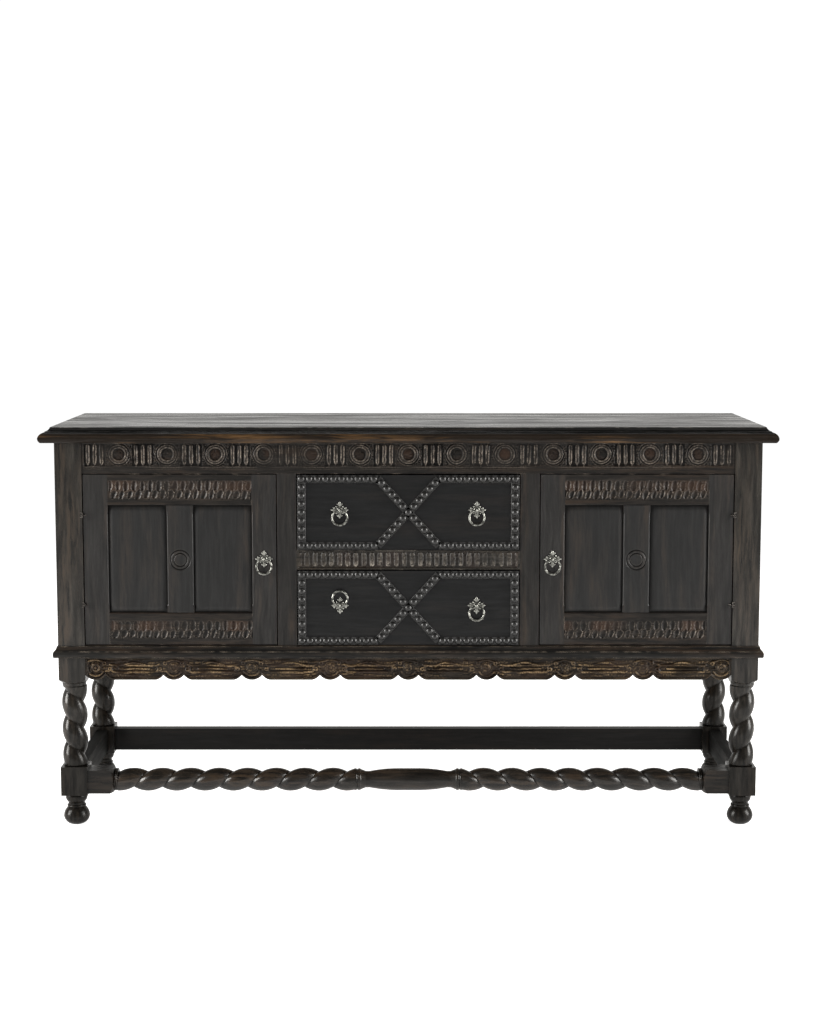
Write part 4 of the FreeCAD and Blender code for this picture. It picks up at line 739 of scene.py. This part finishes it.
frieze = carved(spaced(-POST_INNER, POST_INNER, FRIEZE_STEP), FRIEZE_LOW, FRIEZE_HIGH, FRIEZE_ROWS,
                frieze_relief)
piece_of("carved_frieze", [frieze], carved_oak, "case", ["frieze_rail"])
drawer_rail = carved(spaced(-DRAWER_RAIL_HALF, DRAWER_RAIL_HALF, RAIL_STEP), DRAWER_RAIL_LOW,
                     DRAWER_RAIL_HIGH, DRAWER_RAIL_ROWS, drawer_rail_relief, rub_reach=6, rub=0.75, shade_and_dirt=0.16)
piece_of("carved_drawer_rail", [drawer_rail], rail_oak, "case", ["drawer_rail"])
columns = apron_columns()
apron = carved(columns, apron_edge(columns), APRON_HIGH, APRON_ROWS, apron_relief, shade_and_dirt=0.4)
piece_of("carved_apron", [apron], apron_oak, "case", ["front_apron"])
for side, word in SIDES:
    rails = [carved(door_columns(INNER_STILE, OUTER_STILE, RAIL_STEP, side), low, high, rows,
                    leaf_rows_relief(*leaves), back=DOOR_BACK, rub=2.6, shade_and_dirt=0.25)
             for low, high, rows, leaves in DOOR_RAILS]
    muntin = carved(door_columns(MUNTIN_NEAR, MUNTIN_FAR, MUNTIN_STEP, side), LOW_RAIL_EDGE, HIGH_RAIL_EDGE,
                    MUNTIN_ROWS, muntin_relief, back=DOOR_BACK)
    panels = [carved(door_columns(near, far, PANEL_STEP, side), LOW_RAIL_EDGE, HIGH_RAIL_EDGE, PANEL_ROWS,
                     panel_relief, front=PANEL_FRONT, back=PANEL_BACK, rub=0)
              for near, far in ((INNER_STILE, MUNTIN_NEAR), (MUNTIN_FAR, OUTER_STILE))]
    stiles = [carved(stile_columns(near, far, panel_edge, side), DOOR_LOW, DOOR_HIGH, STILE_ROWS,
                     stile_relief(panel_edge), back=DOOR_BACK)
              for near, far, panel_edge in ((DOOR_INNER, INNER_STILE, INNER_STILE),
                                            (OUTER_STILE, DOOR_OUTER, OUTER_STILE))]
    door = word + "_door"
    piece_of(door + "_carved_rails", rails, carved_oak, door, [door + "_rails"])
    piece_of(door + "_carved_muntin", [muntin], panel_oak, door, [door + "_muntin"])
    piece_of(door + "_fielded_panels", panels, panel_oak, door, [door + "_panels"])
    piece_of(door + "_chamfered_stiles", stiles, stile_oak, door, [door + "_stiles"])


# Geometry built by rule

def built(name, base, tree, settings):
    """The plain mesh that a geometry tree makes of a base mesh with these inputs."""
    holder = bpy.data.objects.new(name + "_base", base)
    scene.collection.objects.link(holder)
    modifier = holder.modifiers.new(name, "NODES")
    modifier.node_group = tree
    sockets = {item.name: item.identifier for item in tree.interface.items_tree
               if item.item_type == "SOCKET" and item.in_out == "INPUT"}
    for label, setting in settings.items():
        modifier[sockets[label]] = setting
    depsgraph = bpy.context.evaluated_depsgraph_get()
    mesh = bpy.data.meshes.new_from_object(holder.evaluated_get(depsgraph))
    bpy.data.objects.remove(holder)
    mesh.name = name
    return mesh


def finish_tree(tree, given, out, geometry):
    """End a geometry tree with real, plain geometry of its material."""
    real = wire(tree, "GeometryNodeRealizeInstances", {"Geometry": geometry})
    finished = wire(tree, "GeometryNodeSetMaterial", {"Geometry": real, "Material": given["Material"]})
    feed(out, {0: finished})
    return tree


BEAD_BACK = 0.0011


def studs_tree():
    """A turned half bead on every loose point, each a little unlike the next, joined to the strips below."""
    tree, given, out = new_tree("studs", "Geometry", {
        "Radius": 0.0098, "Height": 0.009, "Unevenness": 0.04, "Seed": 0, "Material": None})
    bead = wire(tree, "GeometryNodeMeshUVSphere", {"Segments": 28, "Rings": 16, "Radius": given["Radius"]})
    depth = wire(tree, "SeparateXYZ", {0: wire(tree, "GeometryNodeInputPosition")}).outputs["Y"]
    behind = math_node("GREATER_THAN", depth, BEAD_BACK)
    half = wire(tree, "GeometryNodeDeleteGeometry", {"Geometry": bead, "Selection": behind}, domain="FACE")
    flat = math_node("DIVIDE", given["Height"], given["Radius"])
    lower = wire(tree, "GeometryNodeTransform",
                 {"Geometry": half, "Scale": wire(tree, "CombineXYZ", {0: 1.0, 1: flat, 2: 1.0})})
    smooth = wire(tree, "GeometryNodeSetShadeSmooth", {"Geometry": lower})
    faces_at = wire(tree, "GeometryNodeInputMeshVertexNeighbors").outputs["Face Count"]
    alone = wire(tree, "FunctionNodeCompare", {2: faces_at, 3: 0}, data_type="INT", operation="EQUAL")
    apart = wire(tree, "GeometryNodeSeparateGeometry", {"Geometry": given["Geometry"], "Selection": alone},
                 domain="POINT").outputs
    least = minus(1.0, given["Unevenness"])
    size = wire(tree, "FunctionNodeRandomValue", {2: least, 3: 1.0, "Seed": given["Seed"]}, data_type="FLOAT")
    turns = {0: (-0.05, -3.0, -0.05), 1: (0.05, 3.0, 0.05), "Seed": given["Seed"]}
    tilt = wire(tree, "FunctionNodeRandomValue", turns, data_type="FLOAT_VECTOR")
    turn = wire(tree, "FunctionNodeEulerToRotation", {0: tilt})
    placed = wire(tree, "GeometryNodeInstanceOnPoints", {
        "Points": apart["Selection"], "Instance": smooth, "Rotation": turn, "Scale": size.outputs[1]})
    both = wire(tree, "GeometryNodeJoinGeometry", {0: placed})
    feed(both, {0: apart["Inverted"]})
    return finish_tree(tree, given, out, both)


def skin(rings, count, closed=False):
    """Four-sided faces between rings of corners, and from the last ring to the first if the run is closed."""
    each = np.arange(count)
    following = (each + 1) % count
    faces = []
    for ring in range(rings if closed else rings - 1):
        here, after = ring * count, (ring + 1) % rings * count
        faces += np.column_stack([here + each, here + following, after + following, after + each]).tolist()
    return faces


STUDS = studs_tree()
DRAWER_HALF, CROSS_HALF, STRIP_HALF, BEAD_INSET = 276.5, 76.0, 10.0, 13.6
STRIP_PROUD, STRIP_CHAMFER = 2.0, 0.6
BORDER_BEADS, RAIL_BEADS, CROSS_BEADS = 9, 10, 11


def strip_box(bm, start, end):
    """A flat strip from start to end on the drawer front, with small chamfers along its edges."""
    start, end = Vector(start), Vector(end)
    along = (end - start).normalized()
    side = Vector((along.y, -along.x))
    low, inner = STRIP_PROUD - STRIP_CHAMFER, STRIP_HALF - STRIP_CHAMFER
    half_section = ((STRIP_HALF, 0.0), (STRIP_HALF, low), (inner, STRIP_PROUD))
    section = [(-off, proud) for off, proud in half_section] + list(half_section[::-1])
    count = len(section)
    corners = []
    for place in (start, end):
        for off, proud in section:
            x, z = (at + way * off for at, way in zip(place, side))
            corners.append(bm.verts.new((x * MM, (FACE - proud) * MM, z * MM)))
    for face in skin(2, count) + [range(count)[::-1], range(count, 2 * count)]:
        bm.faces.new([corners[number] for number in face])


def row_of(start, end, count, skip=0):
    """Even places from start to end, leaving out the first few."""
    return [tuple(a + (b - a) * number / (count - 1) for a, b in zip(start, end))
            for number in range(skip, count)]


def drawer_beading(word, low, high, seed):
    """The bead moulding of one drawer front: a border at each end and a cross between."""
    bm = bmesh.new()
    corner_x = DRAWER_HALF - STRIP_HALF
    low_corner, high_corner = low + STRIP_HALF, high - STRIP_HALF
    places = []
    for side in (-1, 1):
        strip_box(bm, (side * corner_x, low), (side * corner_x, high))
        places += row_of((side * corner_x, low_corner), (side * corner_x, high_corner), BORDER_BEADS)
        for level in (low_corner, high_corner):
            strip_box(bm, (side * (corner_x - STRIP_HALF), level), (side * CROSS_HALF, level))
            inner = side * (CROSS_HALF + STRIP_HALF)
            places += row_of((side * corner_x, level), (inner, level), RAIL_BEADS, 1)
    rise_of_cross = high_corner - low_corner
    length = math.hypot(2 * CROSS_HALF, rise_of_cross)
    inset = (BEAD_INSET * 2 * CROSS_HALF / length, BEAD_INSET * rise_of_cross / length)
    for side in (-1, 1):
        start, end = (-side * CROSS_HALF, low_corner), (side * CROSS_HALF, high_corner)
        strip_box(bm, start, end)
        row = row_of((start[0] + side * inset[0], start[1] + inset[1]),
                     (end[0] - side * inset[0], end[1] - inset[1]), CROSS_BEADS)
        places += row if side > 0 else row[:CROSS_BEADS // 2] + row[CROSS_BEADS // 2 + 1:]
    bmesh.ops.recalc_face_normals(bm, faces=bm.faces)
    for x, z in places:
        bm.verts.new((x * MM, FACE * MM, z * MM))
    base = bpy.data.meshes.new(word + "_beading_base")
    bm.to_mesh(base)
    bm.free()
    # Painted shade: the strips carry the sunk mark, which paints them darker than the beads.
    base.attributes.new("sunk", "FLOAT", "POINT").data.foreach_set("value", [0.75] * len(base.vertices))
    drawer = word + "_drawer"
    mesh = built(drawer + "_beads", base, STUDS, {
        "Radius": 0.0098, "Height": 0.009, "Unevenness": 0.05, "Seed": seed, "Material": bead_oak})
    place_piece(drawer + "_beads", mesh, bead_oak, drawer, [drawer + "_beading"])


for word, seed in (("lower", 3), ("upper", 4)):
    front_low, front_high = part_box(word + "_drawer_front")
    drawer_beading(word, front_low.z / MM, front_high.z / MM, seed)


# Ring pulls. Each plate is four leaves about a boss, with a knob between each two; the ring hangs in an eye.

EYE_OUT, RING_RADIUS, WIRE_AT_EYE = 8.0, 19.2, 2.2


def circle(count):
    """Even angles round a circle."""
    return np.arange(count) * 2 * np.pi / count


def dome(outline, height, foot):
    """A swelling over an outline of (across, up) places: (across, out, up) corners, faces and heights."""
    middle = outline.mean(0)
    shares = np.array([1.0, 1.0, 0.93, 0.82, 0.66, 0.46, 0.24])
    out = foot + height * (1 - shares ** 2.0) ** 0.5
    out[0] = 0.0
    count = len(outline)
    corners = [np.insert(middle + (outline - middle) * share, 1, level, axis=1)
               for share, level in zip(shares, out)]
    corners = np.concatenate(corners + [[(middle[0], foot + height, middle[1])]])
    last, top = (len(shares) - 1) * count, len(shares) * count
    tip = [[last + number, last + (number + 1) % count, top] for number in range(count)]
    return corners, skin(len(shares), count) + tip, np.clip(corners[:, 1] / (foot + height), 0, 1)


def lathe(profile, count=40):
    """A turning about the line out of the face: (radius, out) places from the rim to the middle."""
    angles = circle(count)
    corners = [np.column_stack([radius * np.cos(angles), np.full(count, out), radius * np.sin(angles)])
               for radius, out in profile]
    corners = np.concatenate(corners)
    highest = max(out for radius, out in profile)
    return corners, skin(len(profile), count), np.clip(corners[:, 1] / highest, 0, 1) ** 2


def turned_about(part, degrees):
    """The part turned in its face about the middle."""
    corners, faces, high = part
    cosine, sine = math.cos(math.radians(degrees)), math.sin(math.radians(degrees))
    across, out, up = corners.T
    return np.column_stack([across * cosine - up * sine, out, across * sine + up * cosine]), faces, high


def leaf_parts():
    """One leaf, pointing up: a pointed middle lobe with a round lobe on each side."""
    share = np.linspace(0, 1, 15)
    half = 10.6 * share ** 0.75 * (1 - share) ** 0.85
    up = 8.0 + 14.4 * share
    pointed = np.concatenate([np.column_stack([half, up]), np.column_stack([-half, up])[-2:0:-1]])
    parts = [dome(pointed, 1.5, 1.1)]
    angles = circle(20)
    along, wide = 3.3 * np.cos(angles), 2.5 * np.sin(angles)
    for side in (-1, 1):
        lean = math.radians(35) * side
        lobe = np.column_stack([side * 4.1 + along * math.cos(lean) - wide * math.sin(lean),
                                14.0 + along * math.sin(lean) + wide * math.cos(lean)])
        parts.append(dome(lobe, 1.3, 1.0))
    stem = np.array([[-2.6, 7.0], [2.6, 7.0], [3.2, 13.0], [-3.2, 13.0]])
    return parts + [dome(stem, 0.3, 0.9)]


def eye_part():
    """The eye that the ring hangs in: a loop standing out of the boss, its hole running across."""
    around, along = circle(28), circle(14)
    loop, turn = np.meshgrid(around, along, indexing="ij")
    radius = 4.2 + 1.25 * np.cos(turn)
    corners = np.stack([2.2 * np.sin(turn), EYE_OUT + radius * np.cos(loop), radius * np.sin(loop)], -1)
    corners = corners.reshape(-1, 3)
    return corners, skin(len(around), len(along), closed=True), np.clip((corners[:, 1] - 5) / 8, 0, 1)


def plate_parts():
    """Every part of one plate about its middle."""
    angles = circle(20)
    knob = np.column_stack([2.2 * np.cos(angles), 2.2 * np.sin(angles)]) + 8.1
    boss = lathe([(10.4, 0.0), (10.4, 0.9), (9.6, 1.3), (7.3, 1.4), (6.9, 2.3), (6.2, 3.1), (5.2, 3.1),
                  (4.5, 2.2), (4.2, 1.3), (0.01, 1.2)])
    parts = [boss, lathe([(2.3, 0.0), (2.3, 4.2), (0.01, 4.2)], 16), eye_part()]
    for quarter in range(4):
        parts += [turned_about(part, 90 * quarter) for part in leaf_parts() + [dome(knob, 2.0, 0.9)]]
    return parts


PLATE = plate_parts()


def pull_plates(name, places, body, replaced):
    """The plates of one body, one at each (x, z) place."""
    parts = []
    for x, z in places:
        for corners, faces, high in PLATE:
            placed = np.column_stack([x + corners[:, 0], FACE - corners[:, 1], z + corners[:, 2]]) * MM
            parts.append((placed, faces, [high * 0.9, (1 - high) * 0.75, np.zeros(len(high))]))
    piece_of(name, parts, pull_metal, body, [replaced])


def ring_tree():
    """A ring of wire, hammered a little and thicker away from its eye, standing upright about a place."""
    tree, given, out = new_tree("hammered ring", "Geometry", {
        "Radius": 0.019, "Wire": 0.0023, "Swell": 0.3, "Hammering": 0.2, "Way": 1.0, "Place": (0, 0, 0),
        "Material": None})
    path = wire(tree, "GeometryNodeCurvePrimitiveCircle", {"Resolution": 96, "Radius": given["Radius"]})
    section = wire(tree, "GeometryNodeCurvePrimitiveCircle", {"Resolution": 20, "Radius": given["Wire"]})
    tube = wire(tree, "GeometryNodeCurveToMesh", {"Curve": path, "Profile Curve": section})

    def scaled(a, factor):
        return wire(tree, "VectorMath", {0: a, "Scale": factor}, operation="SCALE")

    place = wire(tree, "GeometryNodeInputPosition")
    away = vector("NORMALIZE", vector("MULTIPLY", place, (1.0, 1.0, 0.0)))
    off = vector("SUBTRACT", place, scaled(away, given["Radius"]))
    up = wire(tree, "SeparateXYZ", {0: away}).outputs["Y"]
    low = times(minus(1.0, times(up, given["Way"])), 0.5)
    thick = plus(1.0, times(low, given["Swell"]))
    dents = noise(vector("ADD", place, given["Place"]), 210.0, 1.0)
    size = plus(thick, times(minus(dents, 0.62), given["Hammering"]))
    inward = minus(given["Radius"], times(given["Wire"], minus(thick, 1.0)))
    flattened = vector("MULTIPLY", scaled(off, size), (1.0, 1.0, 0.94))
    moved = vector("ADD", scaled(away, inward), flattened)
    shaped = wire(tree, "GeometryNodeSetPosition", {"Geometry": tube, "Position": moved})
    upright = wire(tree, "GeometryNodeTransform", {
        "Geometry": shaped, "Rotation": (math.pi / 2, 0, 0), "Translation": given["Place"]})
    return finish_tree(tree, given, out, wire(tree, "GeometryNodeSetShadeSmooth", {"Geometry": upright}))


RINGS = ring_tree()
DRAWER_PULL_OUT, UPPER_PULL_LEVEL, LOWER_PULL_LEVEL = 171.0, 808.625, 567.875
DOOR_PULL_OUT, DOOR_PULL_LEVEL = 360.5, 685.25
HANGING, STANDING = 1, -1


def pull_ring(node, x, z, way):
    """The ring of one pull, which hangs from its eye or stands on it."""
    mesh = built(node + "_hammered", bpy.data.meshes.new(node + "_base"), RINGS, {
        "Radius": RING_RADIUS * MM, "Wire": WIRE_AT_EYE * MM, "Swell": 0.36, "Hammering": 0.35,
        "Way": float(way), "Material": pull_metal,
        "Place": (x * MM, (FACE - EYE_OUT) * MM, (z - way * RING_RADIUS) * MM)})
    place_piece(node + "_hammered", mesh, pull_metal, node + "_body", [node])


for drawer, level, ways in (("upper_drawer", UPPER_PULL_LEVEL, (HANGING, HANGING)),
                            ("lower_drawer", LOWER_PULL_LEVEL, (STANDING, HANGING))):
    places = [(side * DRAWER_PULL_OUT, level) for side, word in SIDES]
    pull_plates(drawer + "_leaf_plates", places, drawer, drawer + "_pull_plates")
    for (side, word), way, (x, z) in zip(SIDES, ways, places):
        pull_ring(drawer + "_ring_" + word, x, z, way)
for side, word in SIDES:
    door, x = word + "_door", side * DOOR_PULL_OUT
    pull_plates(door + "_leaf_plate", [(x, DOOR_PULL_LEVEL)], door, door + "_pull_plate")
    pull_ring(door + "_ring", x, DOOR_PULL_LEVEL, HANGING)


# Floor and light

floor_mesh = bpy.data.meshes.new("floor")
FLOOR_REACH = 6.0
floor_corners = [(x * FLOOR_REACH, y * FLOOR_REACH, 0) for x, y in ((-1, -1), (1, -1), (1, 1), (-1, 1))]
floor_mesh.from_pydata(floor_corners, [], [(0, 1, 2, 3)])
floor = bpy.data.objects.new("floor", floor_mesh)
pale, tree, shader = new_material("pale floor")
from_camera = wire(tree, "LightPath").outputs["Is Camera Ray"]
feed(shader, {
    "Base Color": 0.92, "Roughness": 0.8, "Emission Color": 1,
    "Emission Strength": wire(tree, "MapRange", {"Value": from_camera, "To Min": 0.35, "To Max": 0.8})})
floor.data.materials.append(pale)
scene.collection.objects.link(floor)


WARM_WHITE = (1.0, 0.985, 0.955)


def softbox(name, place, aim, width, height, power):
    """A large soft lamp that faces a point."""
    data = bpy.data.lights.new(name, "AREA")
    data.shape = "RECTANGLE"
    data.size, data.size_y, data.energy = width, height, power
    data.color = WARM_WHITE
    lamp = bpy.data.objects.new(name, data)
    lamp.location = place
    lamp.rotation_euler = (Vector(aim) - Vector(place)).to_track_quat("-Z", "Y").to_euler()
    scene.collection.objects.link(lamp)


for side, word in SIDES:
    softbox("softbox " + word, (side * 4.5, -1.6, 1.7), (0, 0, 0.7), 1.5, 2.5, 265)
softbox("high back", (0, 2.6, 3.6), (0, 0.2, 0.6), 4.0, 1.6, 60)

# White behind, dimmer in front and above, as in a studio with a lit backdrop.
world = bpy.data.worlds.new("studio")
scene.world = world
world.use_nodes = True
sky = world.node_tree
direction = wire(sky, "SeparateXYZ", {0: wire(sky, "TexCoord").outputs["Generated"]}).outputs
behind = ramp(direction["Y"], [(0.15, 0.22), (0.65, 1)])
above = ramp(direction["Z"], [(0.25, 1), (0.75, 0.25)])
lit = mix_colour(1.0, behind, above, blend="MULTIPLY")
toned = mix_colour(1.0, lit, WARM_WHITE, blend="MULTIPLY")
seen = wire(sky, "LightPath").outputs["Is Camera Ray"]
feed(sky.nodes["Background"], {"Color": mix_colour(seen, toned, 1.05)})
scene.view_settings.view_transform = "Standard"
